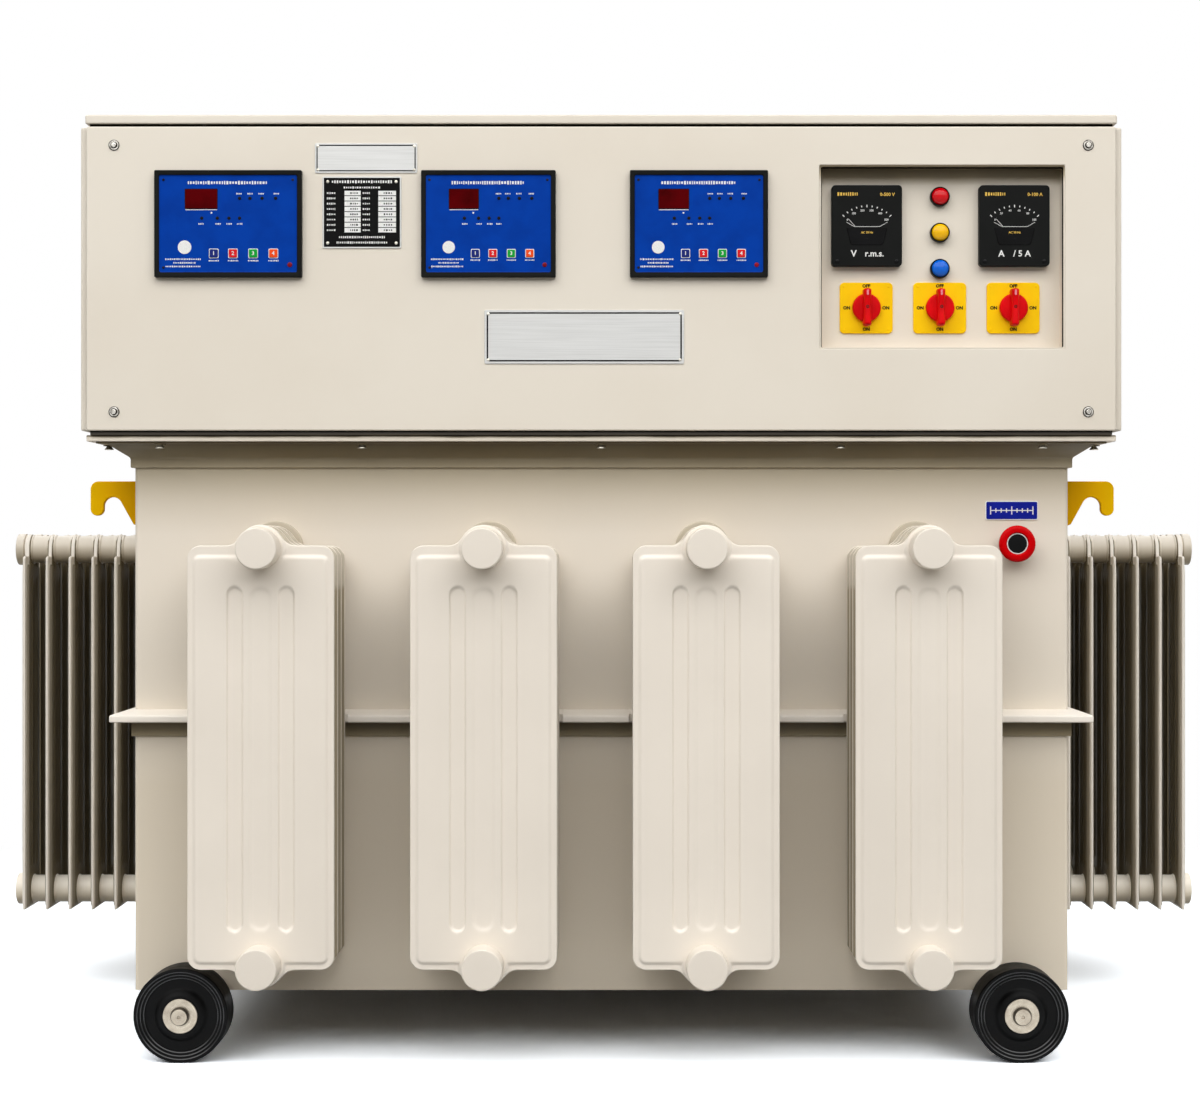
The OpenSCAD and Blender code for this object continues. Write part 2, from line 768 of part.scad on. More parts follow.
// a selector knob on a short spindle that turns in its plate
module knob(i) {
    gap = 1;
    base = 8;
    color([0.75, 0.08, 0.06])
        translate([tray_x + i * switch_pitch, tray_back - switch_plate_thickness, switch_z])
            rotate([90, 0, 0]) {
                translate([0, 0, 0.5 - switch_plate_thickness])
                    cylinder(h = switch_plate_thickness + gap, r = spindle_radius);
                translate([0, 0, gap]) cylinder(h = base, r = knob_radius);
                translate([0, 0, gap + base / 2]) linear_extrude(knob_reach - gap - base / 2)
                    round_rect(knob_handle_width, knob_handle_length, 4);
            }
}

tank_body();
rim_skirt();
mounting_flange();
flange_nuts();
stiffener_rail();
lifting_lugs();
oil_gauge();
oil_label();
axle_brackets();
axles();
wheel(-wheel_x, -wheel_y);  // wheel_front_left
wheel(wheel_x, -wheel_y);  // wheel_front_right
wheel(-wheel_x, wheel_y);  // wheel_rear_left
wheel(wheel_x, wheel_y);  // wheel_rear_right
front_radiator(1);  // front_radiator_1
front_radiator(2);  // front_radiator_2
front_radiator(3);  // front_radiator_3
front_radiator(4);  // front_radiator_4
rear_radiators();
side_radiator_pair();  // left_radiators
mirror([1, 0, 0]) side_radiator_pair();  // right_radiators
front_headers();
mirror([0, 1, 0]) front_headers();  // rear_headers
left_headers();
mirror([1, 0, 0]) left_headers();  // right_headers
cabinet_base_pan();
cabinet_housing();
cabinet_front_panel();
cabinet_back_panel();
side_cover();  // cabinet_left_cover
mirror([1, 0, 0]) side_cover();  // cabinet_right_cover
cabinet_lid();
cover_screws();
controller(0);  // controller_left
controller(1);  // controller_middle
controller(2);  // controller_right
panel_plates();
instrument_tray();
meter(-meter_x);  // voltmeter
meter(meter_x);  // ammeter
pilot_lamps();
switch_plates();
knob(-1);  // knob_left
knob(0);  // knob_middle
knob(1);  // knob_right
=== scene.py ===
import math

import bmesh
import bpy
import numpy as np
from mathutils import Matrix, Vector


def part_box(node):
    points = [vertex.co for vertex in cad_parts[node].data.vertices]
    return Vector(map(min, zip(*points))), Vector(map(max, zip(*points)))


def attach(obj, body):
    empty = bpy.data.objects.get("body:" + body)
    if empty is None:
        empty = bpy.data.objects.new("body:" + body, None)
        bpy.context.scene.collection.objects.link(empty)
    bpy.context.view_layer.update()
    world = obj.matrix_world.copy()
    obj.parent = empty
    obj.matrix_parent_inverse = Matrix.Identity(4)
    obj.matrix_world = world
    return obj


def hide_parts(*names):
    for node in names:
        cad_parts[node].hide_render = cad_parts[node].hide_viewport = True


# Oil-cooled servo voltage stabilizer: tank on wheels, pressed radiators, control cabinet.
# Sizes in the dictionaries are millimetres; places come from the frame, in metres.

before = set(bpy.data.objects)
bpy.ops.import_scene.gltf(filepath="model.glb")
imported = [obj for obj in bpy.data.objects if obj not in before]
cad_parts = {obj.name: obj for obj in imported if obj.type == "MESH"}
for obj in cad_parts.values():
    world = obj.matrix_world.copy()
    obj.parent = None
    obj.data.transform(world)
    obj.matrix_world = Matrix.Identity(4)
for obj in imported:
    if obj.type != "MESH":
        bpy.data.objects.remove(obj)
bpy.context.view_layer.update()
mm = 0.001


# colours and nodes

def linear(hexColour):
    # sRGB to linear: a straight line below 0.04045, a power of 2.4 above it
    shares = [int(hexColour[i:i + 2], 16) / 255 for i in (1, 3, 5)]
    return [s / 12.92 if s <= 0.04045 else ((s + 0.055) / 1.055) ** 2.4 for s in shares] + [1.0]


def addNode(material, kind, inputs={}, **settings):
    # one node with its settings; an input is a value, a node (its first output) or an output.
    # The setting "stops" fills a colour ramp with (position, hex colour or grey share).
    node = material.node_tree.nodes.new("ShaderNode" + kind)
    for name, value in settings.items():
        if name != "stops":
            setattr(node, name, value)
            continue
        for _ in value[2:]:
            node.color_ramp.elements.new(0.5)
        for element, (position, shade) in zip(node.color_ramp.elements, value):
            element.position = position
            element.color = linear(shade) if isinstance(shade, str) else (shade, shade, shade, 1)
    for name, value in inputs.items():
        if isinstance(value, bpy.types.Node):
            value = value.outputs[0]
        if isinstance(value, bpy.types.NodeSocket):
            material.node_tree.links.new(value, node.inputs[name])
        else:
            node.inputs[name].default_value = value
    return node


def openMaterial(name):
    # an empty material, and the place on the object that its patterns are worked out from
    material = bpy.data.materials.new(name)
    material.use_nodes = True
    material.node_tree.nodes.clear()
    return material, addNode(material, "TexCoord").outputs["Object"]


def sprayedEnamel(name, colour, shade, gloss=0.38, peel=0.03, grain=4.0, coat=0.15, specular=0.5):
    # enamel sprayed on sheet steel and stoved: an even satin colour with faint clouds, and an
    # orange peel of a few millimetres that breaks up the gloss (drawn about twice its size)
    material, place = openMaterial(name)
    cloud = addNode(material, "TexNoise", {"Vector": place, "Scale": 4, "Detail": 4})
    tint = addNode(material, "ValToRGB", {"Fac": cloud}, stops=[(0.3, shade), (0.62, colour)])
    rub = addNode(material, "TexNoise", {"Vector": place, "Scale": 11, "Detail": 5})
    sheen = addNode(material, "ValToRGB", {"Fac": rub}, stops=[(0.3, gloss - 0.05), (0.75, gloss + 0.07)])
    skin = addNode(material, "TexNoise", {"Vector": place, "Scale": 1 / (grain * mm), "Detail": 2})
    relief = addNode(material, "Bump", {"Height": skin, "Distance": peel * mm, "Strength": 1})
    shader = addNode(material, "BsdfPrincipled",
                     {"Base Color": tint, "Roughness": sheen, "Normal": relief, "IOR": 1.5,
                      "Specular IOR Level": specular, "Coat Weight": coat, "Coat Roughness": 0.2})
    addNode(material, "OutputMaterial", {"Surface": shader})
    return material


def shadedEnamel(name, stops, low, high, axis="Z", specular=0.35):
    # enamel with painted light and shade: its colour changes with height, or with the distance out
    # from the middle along another axis
    material, place = openMaterial(name)
    folded = addNode(material, "VectorMath", {0: place}, operation="ABSOLUTE")
    height = addNode(material, "SeparateXYZ", {"Vector": folded}).outputs[axis]
    smear = addNode(material, "TexNoise", {"Vector": place, "Scale": 9, "Detail": 4})
    wander = addNode(material, "Math", {0: smear, 1: 0.006, 2: height}, operation="MULTIPLY_ADD")
    share = addNode(material, "MapRange", {"Value": wander, "From Min": low, "From Max": high})
    tint = addNode(material, "ValToRGB", {"Fac": share}, stops=stops)
    sheen = addNode(material, "ValToRGB", {"Fac": smear}, stops=[(0.3, 0.42), (0.75, 0.58)])
    skin = addNode(material, "TexNoise", {"Vector": place, "Scale": 250, "Detail": 2})
    relief = addNode(material, "Bump", {"Height": skin, "Distance": 0.03 * mm, "Strength": 1})
    shader = addNode(material, "BsdfPrincipled",
                     {"Base Color": tint, "Roughness": sheen, "Normal": relief, "IOR": 1.5,
                      "Specular IOR Level": specular})
    addNode(material, "OutputMaterial", {"Surface": shader})
    return material


def dustyEnamel(name, colour, dustAndShade, axis, seams, edge, free, thin=(2, 3, 0)):
    # enamel between close plates, darkened on the broad faces as painted shade. Unshaded are each
    # plate's seam (first, pitch, last, half its width, in metres out from the middle) where it lies
    # further out than the edge, all beyond the last plate; the painted shade is lighter higher than
    # free and thins towards the open rims (thin: from, to, share that is unshaded)
    material, place = openMaterial(name)
    first, pitch, last, clean = seams
    folded = addNode(material, "VectorMath", {0: place}, operation="ABSOLUTE")
    part = addNode(material, "SeparateXYZ", {"Vector": folded})
    out = part.outputs[axis]
    smear = addNode(material, "TexNoise", {"Vector": place, "Scale": 14, "Detail": 5})
    wander = addNode(material, "Math", {0: smear, 1: 1 * mm, 2: out}, operation="MULTIPLY_ADD")
    past = addNode(material, "Math", {0: wander, 1: first + 0.5 * mm}, operation="SUBTRACT")
    fold = addNode(material, "Math", {0: past, 1: pitch / 2}, operation="PINGPONG")
    seam = addNode(material, "MapRange",
                   {"Value": fold, "From Min": clean, "From Max": clean + 1 * mm, "To Min": 1.0,
                    "To Max": 0.0})
    sideways = part.outputs["XY".replace(axis, "")]
    outer = addNode(material, "MapRange", {"Value": sideways, "From Min": edge, "From Max": edge + 1 * mm})
    airy = addNode(material, "MapRange",
                   {"Value": sideways, "From Min": thin[0], "From Max": thin[1], "To Max": thin[2]})
    rim = addNode(material, "Math", {0: seam, 1: outer}, operation="MULTIPLY")
    beyond = addNode(material, "MapRange", {"Value": out, "From Min": last, "From Max": last + 1 * mm})
    high = addNode(material, "MapRange",
                   {"Value": part.outputs["Z"], "From Min": free, "From Max": free + 10 * mm,
                    "To Max": 0.4})
    above = addNode(material, "Math", {0: beyond, 1: high}, operation="MAXIMUM")
    above = addNode(material, "Math", {0: above, 1: airy}, operation="MAXIMUM")
    share = addNode(material, "Math", {0: rim, 1: above}, operation="MAXIMUM")
    tint = addNode(material, "ValToRGB", {"Fac": share}, stops=[(0, dustAndShade), (1, colour)])
    sheen = addNode(material, "ValToRGB", {"Fac": smear}, stops=[(0.3, 0.48), (0.75, 0.64)])
    shader = addNode(material, "BsdfPrincipled",
                     {"Base Color": tint, "Roughness": sheen, "IOR": 1.5, "Specular IOR Level": 0.12})
    addNode(material, "OutputMaterial", {"Surface": shader})
    return material


def foamRubber(name, colour, shade):
    # dull black foam standing for painted shade, with a fine open skin, swallowing nearly all light
    material, place = openMaterial(name)
    cells = addNode(material, "TexNoise", {"Vector": place, "Scale": 700, "Detail": 3})
    tint = addNode(material, "ValToRGB", {"Fac": cells}, stops=[(0.35, shade), (0.65, colour)])
    relief = addNode(material, "Bump", {"Height": cells, "Distance": 0.1 * mm, "Strength": 1})
    shader = addNode(material, "BsdfPrincipled",
                     {"Base Color": tint, "Roughness": 0.95, "Normal": relief, "Specular IOR Level": 0.02})
    addNode(material, "OutputMaterial", {"Surface": shader})
    return material


def platedSteel(name, colour, shade, gloss, grain, depth=0.02):
    # electroplated steel: cloudy grey where the plating is thin, with fine pits
    material, place = openMaterial(name)
    cloud = addNode(material, "TexNoise", {"Vector": place, "Scale": 1 / (grain * 5 * mm), "Detail": 4})
    tint = addNode(material, "ValToRGB", {"Fac": cloud}, stops=[(0.35, shade), (0.65, colour)])
    pits = addNode(material, "TexNoise", {"Vector": place, "Scale": 1 / (grain * mm), "Detail": 3})
    sheen = addNode(material, "ValToRGB", {"Fac": pits}, stops=[(0.25, gloss - 0.06), (0.8, gloss + 0.1)])
    relief = addNode(material, "Bump", {"Height": pits, "Distance": depth * mm, "Strength": 1})
    shader = addNode(material, "BsdfPrincipled",
                     {"Base Color": tint, "Roughness": sheen, "Normal": relief, "Metallic": 1.0})
    addNode(material, "OutputMaterial", {"Surface": shader})
    return material


def brushedAluminium(name, colour, shade):
    # rolled sheet brushed along its length: fine streaks across a soft grey (drawn coarser)
    material, place = openMaterial(name)
    along = addNode(material, "Mapping", {"Vector": place, "Scale": (12, 900, 900)})
    streak = addNode(material, "TexNoise", {"Vector": along, "Scale": 1, "Detail": 4})
    tint = addNode(material, "ValToRGB", {"Fac": streak}, stops=[(0.3, shade), (0.7, colour)])
    sheen = addNode(material, "ValToRGB", {"Fac": streak}, stops=[(0.3, 0.42), (0.7, 0.55)])
    relief = addNode(material, "Bump", {"Height": streak, "Distance": 0.01 * mm, "Strength": 1})
    shader = addNode(material, "BsdfPrincipled",
                     {"Base Color": tint, "Roughness": sheen, "Normal": relief, "Metallic": 0.55})
    addNode(material, "OutputMaterial", {"Surface": shader})
    return material


def turnedSteel(name, colour, shade):
    # steel faced in a lathe: fine rings round each axle (1 mm apart, so that they show),
    # browned here and there with old grease
    material, place = openMaterial(name)
    folded = addNode(material, "VectorMath", {0: place}, operation="ABSOLUTE")
    local = addNode(material, "VectorMath", {0: folded, 1: wheelCentre}, operation="SUBTRACT")
    flat = addNode(material, "VectorMath", {0: local, 1: (1, 0, 1)}, operation="MULTIPLY")
    radius = addNode(material, "VectorMath", {0: flat}, operation="LENGTH").outputs["Value"]
    rings = addNode(material, "TexNoise", {"W": radius, "Scale": 1000, "Detail": 2}, noise_dimensions="1D")
    greaseAndShade = addNode(material, "TexNoise", {"Vector": place, "Scale": 70, "Detail": 5})
    worn = addNode(material, "ValToRGB", {"Fac": greaseAndShade}, stops=[(0.3, colour), (0.85, shade)])
    # painted shade: a dark ring in the corner round the axle, 11 to 13 mm from its centre
    corner = addNode(material, "MapRange", {"Value": radius, "From Min": 10 * mm, "From Max": 18 * mm})
    cornerShade = addNode(material, "ValToRGB",
                     {"Fac": corner}, stops=[(0.1, 0.0), (0.18, 0.9), (0.36, 0.9), (0.6, 0.0)])
    tint = addNode(material, "Mix",
                   {"Factor": cornerShade, 6: worn, 7: linear("#3A332B")}, data_type="RGBA").outputs[2]
    sheen = addNode(material, "ValToRGB", {"Fac": rings}, stops=[(0.3, 0.24), (0.75, 0.42)])
    relief = addNode(material, "Bump", {"Height": rings, "Distance": 0.05 * mm, "Strength": 1})
    shader = addNode(material, "BsdfPrincipled",
                     {"Base Color": tint, "Roughness": sheen, "Normal": relief, "Metallic": 1.0})
    addNode(material, "OutputMaterial", {"Surface": shader})
    return material


def castEnamel(name, colour, scuff, dustAndShade, specular, gloss):
    # thick black enamel on an iron casting: deep black, with dust in faint scuffs
    material, place = openMaterial(name)
    wear = addNode(material, "TexNoise", {"Vector": place, "Scale": 45, "Detail": 6})
    tint = addNode(material, "ValToRGB", {"Fac": wear}, stops=[(0.45, colour), (0.7, scuff), (0.85, dustAndShade)])
    sheen = addNode(material, "ValToRGB", {"Fac": wear}, stops=[(0.4, gloss), (0.8, gloss + 0.2)])
    skin = addNode(material, "TexNoise", {"Vector": place, "Scale": 160, "Detail": 3})
    relief = addNode(material, "Bump", {"Height": skin, "Distance": 0.04 * mm, "Strength": 1})
    shader = addNode(material, "BsdfPrincipled",
                     {"Base Color": tint, "Roughness": sheen, "Normal": relief, "IOR": 1.5,
                      "Specular IOR Level": specular})
    addNode(material, "OutputMaterial", {"Surface": shader})
    return material


def mouldedPlastic(name, colour, shade, gloss=0.4, specular=0.3):
    # injection moulding: a fine spark-eroded grain, and gloss that changes a little with flow
    material, place = openMaterial(name)
    flow = addNode(material, "TexNoise", {"Vector": place, "Scale": 30, "Detail": 4})
    tint = addNode(material, "ValToRGB", {"Fac": flow}, stops=[(0.35, shade), (0.6, colour)])
    sheen = addNode(material, "ValToRGB", {"Fac": flow}, stops=[(0.3, gloss - 0.04), (0.7, gloss + 0.06)])
    spark = addNode(material, "TexNoise", {"Vector": place, "Scale": 1200, "Detail": 2})
    relief = addNode(material, "Bump", {"Height": spark, "Distance": 0.01 * mm, "Strength": 1})
    shader = addNode(material, "BsdfPrincipled",
                     {"Base Color": tint, "Roughness": sheen, "Normal": relief, "IOR": 1.53,
                      "Specular IOR Level": specular})
    addNode(material, "OutputMaterial", {"Surface": shader})
    return material


def screenInk(name, colour, shade):
    # screen-printed ink: matt, thinner where the mesh left its weave (about 1 mm, drawn coarse)
    material, place = openMaterial(name)
    weave = addNode(material, "TexNoise", {"Vector": place, "Scale": 900, "Detail": 2})
    tint = addNode(material, "ValToRGB", {"Fac": weave}, stops=[(0.35, shade), (0.6, colour)])
    sheen = addNode(material, "ValToRGB", {"Fac": weave}, stops=[(0.3, 0.45), (0.7, 0.6)])
    shader = addNode(material, "BsdfPrincipled",
                     {"Base Color": tint, "Roughness": sheen, "IOR": 1.5, "Specular IOR Level": 0.06})
    addNode(material, "OutputMaterial", {"Surface": shader})
    return material


def dyedLens(name, colour, deep):
    # dyed acrylic lamp lens: clear gloss over a strong colour, streaked where it was gated
    material, place = openMaterial(name)
    streak = addNode(material, "TexNoise", {"Vector": place, "Scale": 180, "Detail": 2})
    tint = addNode(material, "ValToRGB", {"Fac": streak}, stops=[(0.3, deep), (0.6, colour)])
    sheen = addNode(material, "ValToRGB", {"Fac": streak}, stops=[(0.3, 0.1), (0.7, 0.16)])
    relief = addNode(material, "Bump", {"Height": streak, "Distance": 0.02 * mm, "Strength": 1})
    shader = addNode(material, "BsdfPrincipled",
                     {"Base Color": tint, "Roughness": sheen, "Normal": relief, "IOR": 1.49,
                      "Specular IOR Level": 0.22})
    addNode(material, "OutputMaterial", {"Surface": shader})
    return material


wheelLow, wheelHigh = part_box("wheel_rear_right")
wheelCentre = (wheelLow + wheelHigh) / 2

# painted light and shade on the pale enamel, by height in metres: the tank darkens under the
# overhang and below the rail, and pales towards the floor
tankPaint = shadedEnamel("stoved enamel, tank",
                         [(0.0, "#F0E4D0"), (0.4, "#E4D8C4"), (0.55, "#EBE1D1"), (0.88, "#E6DCCD"),
                          (0.94, "#D8CDBB"), (1.0, "#C4B8A0")], 0.09, 0.85)
radiatorPaint = sprayedEnamel("stoved enamel, radiators", "#EDE4D7", "#E7DED1", gloss=0.36, coat=0.06)
cabinetPaint = sprayedEnamel("powder coat, cabinet", "#E2DACC", "#DED5C6", gloss=0.5, grain=2.5, peel=0.02,
                             coat=0)
# painted shade: the base pan darkens to near black towards its top, under the front panel
panPaint = shadedEnamel("powder coat, base pan", [(0.0, "#F0E7DA"), (0.6, "#E6DCCB"), (0.74, "#8C7F66"),
                                                   (0.86, "#3C3322"), (1.0, "#221B0E")], 0.889, 0.901)
# painted shade: the rim, skirt, flange and the washers under it darken upwards under the overhang
skirtPaint = shadedEnamel("stoved enamel, painted shade under the overhang",
                          [(0.0, "#CFC2AC"), (0.4, "#A4977C"), (1.0, "#5E5239")], 0.842, 0.888)
# painted shade on the rail's leg under its shelf, painted light on its face above it
railPaint = shadedEnamel("stoved enamel, rail", [(0.0, "#9D9073"), (0.5, "#5E5238"), (0.6, "#FAF2E6")],
                         0.461, 0.505)
# painted shade: the recess darkens towards its top wall
trayPaint = shadedEnamel("powder coat, recess", [(0.0, "#E3DACB"), (0.5, "#B5A88F"), (1.0, "#6E624A")],
                         1.262, 1.284)
redPaint = sprayedEnamel("signal red enamel", "#CA0006", "#BA0005", gloss=0.26, coat=0, grain=7,
                         specular=0.05)
# painted shade: a darker copy of the red for the gauge's barrel
shadedRed = sprayedEnamel("signal red enamel, painted shade", "#8C0206", "#6E0204", gloss=0.4, coat=0, specular=0.05)
bracketPaint = mouldedPlastic("satin black enamel", "#201F1E", "#181716", gloss=0.5)
wheelEnamel = castEnamel("black enamel on cast iron", "#030303", "#090808", "#1C1713", 0.08, 0.42)
polishedEnamel = castEnamel("polished black enamel on the steps", "#050505", "#0C0B0A", "#1C1713",
                            0.42, 0.18)
zincPlate = platedSteel("zinc-plated steel", "#C8C4B8", "#98948A", 0.36, 1.5)
nickelPlate = platedSteel("nickel-plated steel", "#DAD6CE", "#8E8A82", 0.2, 1, 0.01)
socketSteel = platedSteel("oil-blackened steel", "#2A2724", "#171513", 0.4, 1.5, 0.01)
axleSteel = turnedSteel("turned mild steel", "#AFA595", "#7F7568")
plateAluminium = brushedAluminium("brushed aluminium", "#C2C2C0", "#B4B4B2")
# painted shade: black foam put in slots, round the recess and round screws
shadeFoam = foamRubber("black foam, painted shade", "#120D07", "#070503")
blackPlastic = mouldedPlastic("moulded black ABS", "#0D0E0D", "#0A0B0A", gloss=0.42, specular=0.07)
meterGlass = mouldedPlastic("clear acrylic over black", "#040405", "#020202", gloss=0.2, specular=0.1)
bluePanel = mouldedPlastic("printed polyester overlay, blue", "#003CA2", "#003696", gloss=0.46,
                           specular=0.04)
displayGlass = mouldedPlastic("dark red acrylic window", "#560004", "#420002", gloss=0.3, specular=0.02)
yellowPlastic = mouldedPlastic("moulded yellow plate", "#FDCC00", "#F6C400", gloss=0.5, specular=0.1)
redPlastic = mouldedPlastic("moulded red handle", "#E2000A", "#CC0008", gloss=0.34, specular=0.1)
labelBlue = mouldedPlastic("printed vinyl, navy", "#0A1C94", "#081682", gloss=0.4, specular=0.1)
keyColours = {"navy": "#16246E", "red": "#D4181F", "green": "#0C9A34", "orange": "#EA4A14"}
keyCaps = {key: mouldedPlastic("domed key, " + key, shade, shade, gloss=0.4, specular=0.12)
           for key, shade in keyColours.items()}
whiteInk = screenInk("white screen ink", "#F0F0EE", "#DEDEDC")
amberInk = screenInk("amber screen ink", "#EEC662", "#DCB04A")
blackInk = screenInk("black screen ink", "#0A0A0A", "#060606")
pinkHighlightInk = screenInk("pale pink ink, pointer and painted highlight", "#EE8F9A", "#E07C88")
indicatorRed = mouldedPlastic("dark red lens", "#8C0A20", "#6E0618", gloss=0.3, specular=0.1)
redLens = dyedLens("dyed acrylic lens, red", "#D60010", "#C8000C")
yellowLens = dyedLens("dyed acrylic lens, amber", "#F8C000", "#F0B400")
blueLens = dyedLens("dyed acrylic lens, blue", "#0066D8", "#005CCA")
print("materials made")


# shapes

def gridPart(points, around=False, capFirst=False, capLast=False):
    # a grid of points (rows, columns, xyz) as quads; around joins the last column to the first
    rows, columns = points.shape[:2]
    index = np.arange(rows * columns).reshape(rows, columns)
    joined = np.column_stack([index, index[:, :1]]) if around else index
    faces = np.stack([joined[:-1, :-1], joined[:-1, 1:], joined[1:, 1:], joined[1:, :-1]], -1)
    faces = faces.reshape(-1, 4).tolist()
    if capFirst:
        faces.append(index[0, ::-1].tolist())
    if capLast:
        faces.append(index[-1].tolist())
    return points.reshape(-1, 3), faces


def addPiece(name, parts, material, slot, body="root", replaces=(), sharp=38, weighted=True):
    # joins the parts into one mesh in its place, closes seams and poles, turns faces outwards
    points = np.concatenate([part[0] for part in parts])
    starts = np.cumsum([0] + [len(part[0]) for part in parts])
    faces = [[i + start for i in face] for part, start in zip(parts, starts) for face in part[1]]
    mesh = bpy.data.meshes.new(name)
    mesh.from_pydata(points.tolist(), [], faces)
    work = bmesh.new()
    work.from_mesh(mesh)
    bmesh.ops.remove_doubles(work, verts=work.verts, dist=0.000004)
    bmesh.ops.dissolve_degenerate(work, edges=work.edges, dist=0.000002)
    bmesh.ops.recalc_face_normals(work, faces=work.faces)
    work.to_mesh(mesh)
    work.free()
    mesh.shade_smooth()
    mesh.set_sharp_from_angle(angle=math.radians(sharp))
    mesh.materials.append(material)
    piece = bpy.data.objects.new(name, mesh)
    bpy.context.scene.collection.objects.link(piece)
    if weighted:
        # keeps the flat faces flat between their rounded edges
        modifier = piece.modifiers.new("Flat faces", "WEIGHTED_NORMAL")
        modifier.keep_sharp = True
    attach(piece, body)
    if replaces:
        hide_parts(*replaces)
    return piece


def finishNode(node, material):
    # a CAD node that stays gets its finish in its material slots
    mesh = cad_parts[node].data
    mesh.materials.clear()
    mesh.materials.append(material)


def softened(corners, steps=4):
    # rounds each corner (x, y, cut): a parabola tangent to both sides, cut long on each
    corners = np.array(corners, float)
    share = np.linspace(0, 1, steps + 1)[:, None]
    points = [corners[:1, :2]]
    for before, here, after in zip(corners[:-2], corners[1:-1], corners[2:]):
        if here[2] <= 0:
            points.append(here[None, :2])
            continue
        toBefore, toAfter = before[:2] - here[:2], after[:2] - here[:2]
        first = here[:2] + toBefore * min(here[2] / np.linalg.norm(toBefore), 0.5)
        last = here[:2] + toAfter * min(here[2] / np.linalg.norm(toAfter), 0.5)
        points.append((1 - share) ** 2 * first + 2 * share * (1 - share) * here[:2] + share ** 2 * last)
    points.append(corners[-1:, :2])
    return np.concatenate(points)


def turned(profile, centre, direction, segments=64):
    # a profile of (radius, distance along the axis) in millimetres, swept round the axis:
    # centre + along x direction + radius x (cosine x side + sine x up)
    direction = np.array(direction, float)
    side = np.cross(direction, (0, 0, 1) if abs(direction[2]) < 0.9 else (1, 0, 0))
    side /= np.linalg.norm(side)
    up = np.cross(side, direction)
    angle = np.linspace(0, 2 * np.pi, segments, endpoint=False)
    ring = np.cos(angle)[:, None] * side + np.sin(angle)[:, None] * up
    radius, along = np.array(profile, float).T * mm
    points = np.array(centre, float) + along[:, None, None] * direction + radius[:, None, None] * ring
    return gridPart(points, around=True)


def onFront(profile, place, plane, segments):
    # a turned part at (across, up) on a plane, pointing out to the front
    return turned(profile, (place[0], plane, place[1]), (0, -1, 0), segments)


def button(radius, foot, wall, cut, crown, steps=4):
    # a round head from its foot up a straight wall, over a rounded shoulder, to its crown
    return softened([(0, foot, 0), (radius, foot, 0), (radius, wall, cut), (0, crown, 0)], steps)


def socketScrew(radius, foot, wall, cut, mouth, rim, floor):
    # a round head with a socket of radius mouth, sunk from the rim to its floor
    return softened([(0, foot, 0), (radius, foot, 0), (radius, wall, cut), (mouth, rim, 0.1),
                     (mouth - 0.2, floor, 0.1), (0, floor, 0)])


def facing(side, plane):
    # puts (across, up, out) in metres on a face of the object, out in front of the plane
    def put(across, up, out):
        across, up, out = np.broadcast_arrays(across, up, out)
        places = {"front": (across, plane - out, up), "back": (-across, plane + out, up),
                  "left": (plane - out, -across, up), "right": (plane + out, across, up),
                  "top": (across, up, plane + out)}
        return np.stack(places[side], -1)
    return put


def middleOf(low, high):
    # the middle of a front face: across and up
    return (low[0] + high[0]) / 2, (low[2] + high[2]) / 2


def sharesOf(low, high):
    # a place on a front face by shares of its width and height, from the left and from the top
    def at(u, v):
        return low[0] + u * (high[0] - low[0]), high[2] - v * (high[2] - low[2])
    return at


def roundRing(width, height, radius, steps=5):
    # a round rectangle: a quarter circle at each corner, joined by the straight sides
    radius = min(max(radius, 0.0001), width / 2, height / 2)
    quarter = np.linspace(0, np.pi / 2, steps + 1)
    angle = (np.arange(4)[:, None] * np.pi / 2 + quarter).ravel()
    corner = np.repeat([[1, 1], [-1, 1], [-1, -1], [1, -1]], steps + 1, axis=0)
    centre = corner * [width / 2 - radius, height / 2 - radius]
    return centre + radius * np.column_stack([np.cos(angle), np.sin(angle)])


def slab(put, across, up, rings, capFirst=True, capLast=True):
    # round rectangles stacked outwards: each ring is (width, height, radius, out) in metres,
    # with an optional shift (dx, dz) of its centre
    stack = []
    for ring in rings:
        width, height, radius, out = ring[:4]
        dx, dz = ring[4:] if len(ring) > 4 else (0, 0)
        outline = roundRing(width, height, radius)
        stack.append(put(across + dx + outline[:, 0], up + dz + outline[:, 1], out))
    return gridPart(np.stack(stack), True, capFirst, capLast)


def roundedEdge(width, height, radius, low, high, edge):
    # rings up a wall from low to high, its top edge rounded over by a quarter circle
    turn = np.linspace(0, np.pi / 2, 5)
    inset, drop = edge * (1 - np.cos(turn)), edge * (1 - np.sin(turn))
    rings = [(width, height, radius, low)]
    rings += [(width - 2 * i, height - 2 * i, max(radius - i, 0.2 * mm), high - d)
              for i, d in zip(inset, drop)]
    return rings


def plateOn(put, across, up, width, height, radius, thickness, edge, low=0.0):
    # a plate with a rounded front edge
    return slab(put, across, up, roundedEdge(width, height, radius, low, low + thickness, edge))


def frameRings(width, height, radius, wall, low, high):
    # the rings of a flat frame: up its outside and down its inside, a wall's width further in
    inner = (width - 2 * wall, height - 2 * wall, radius)
    return [(width, height, radius, low), (width, height, radius, high), (*inner, high), (*inner, low)]


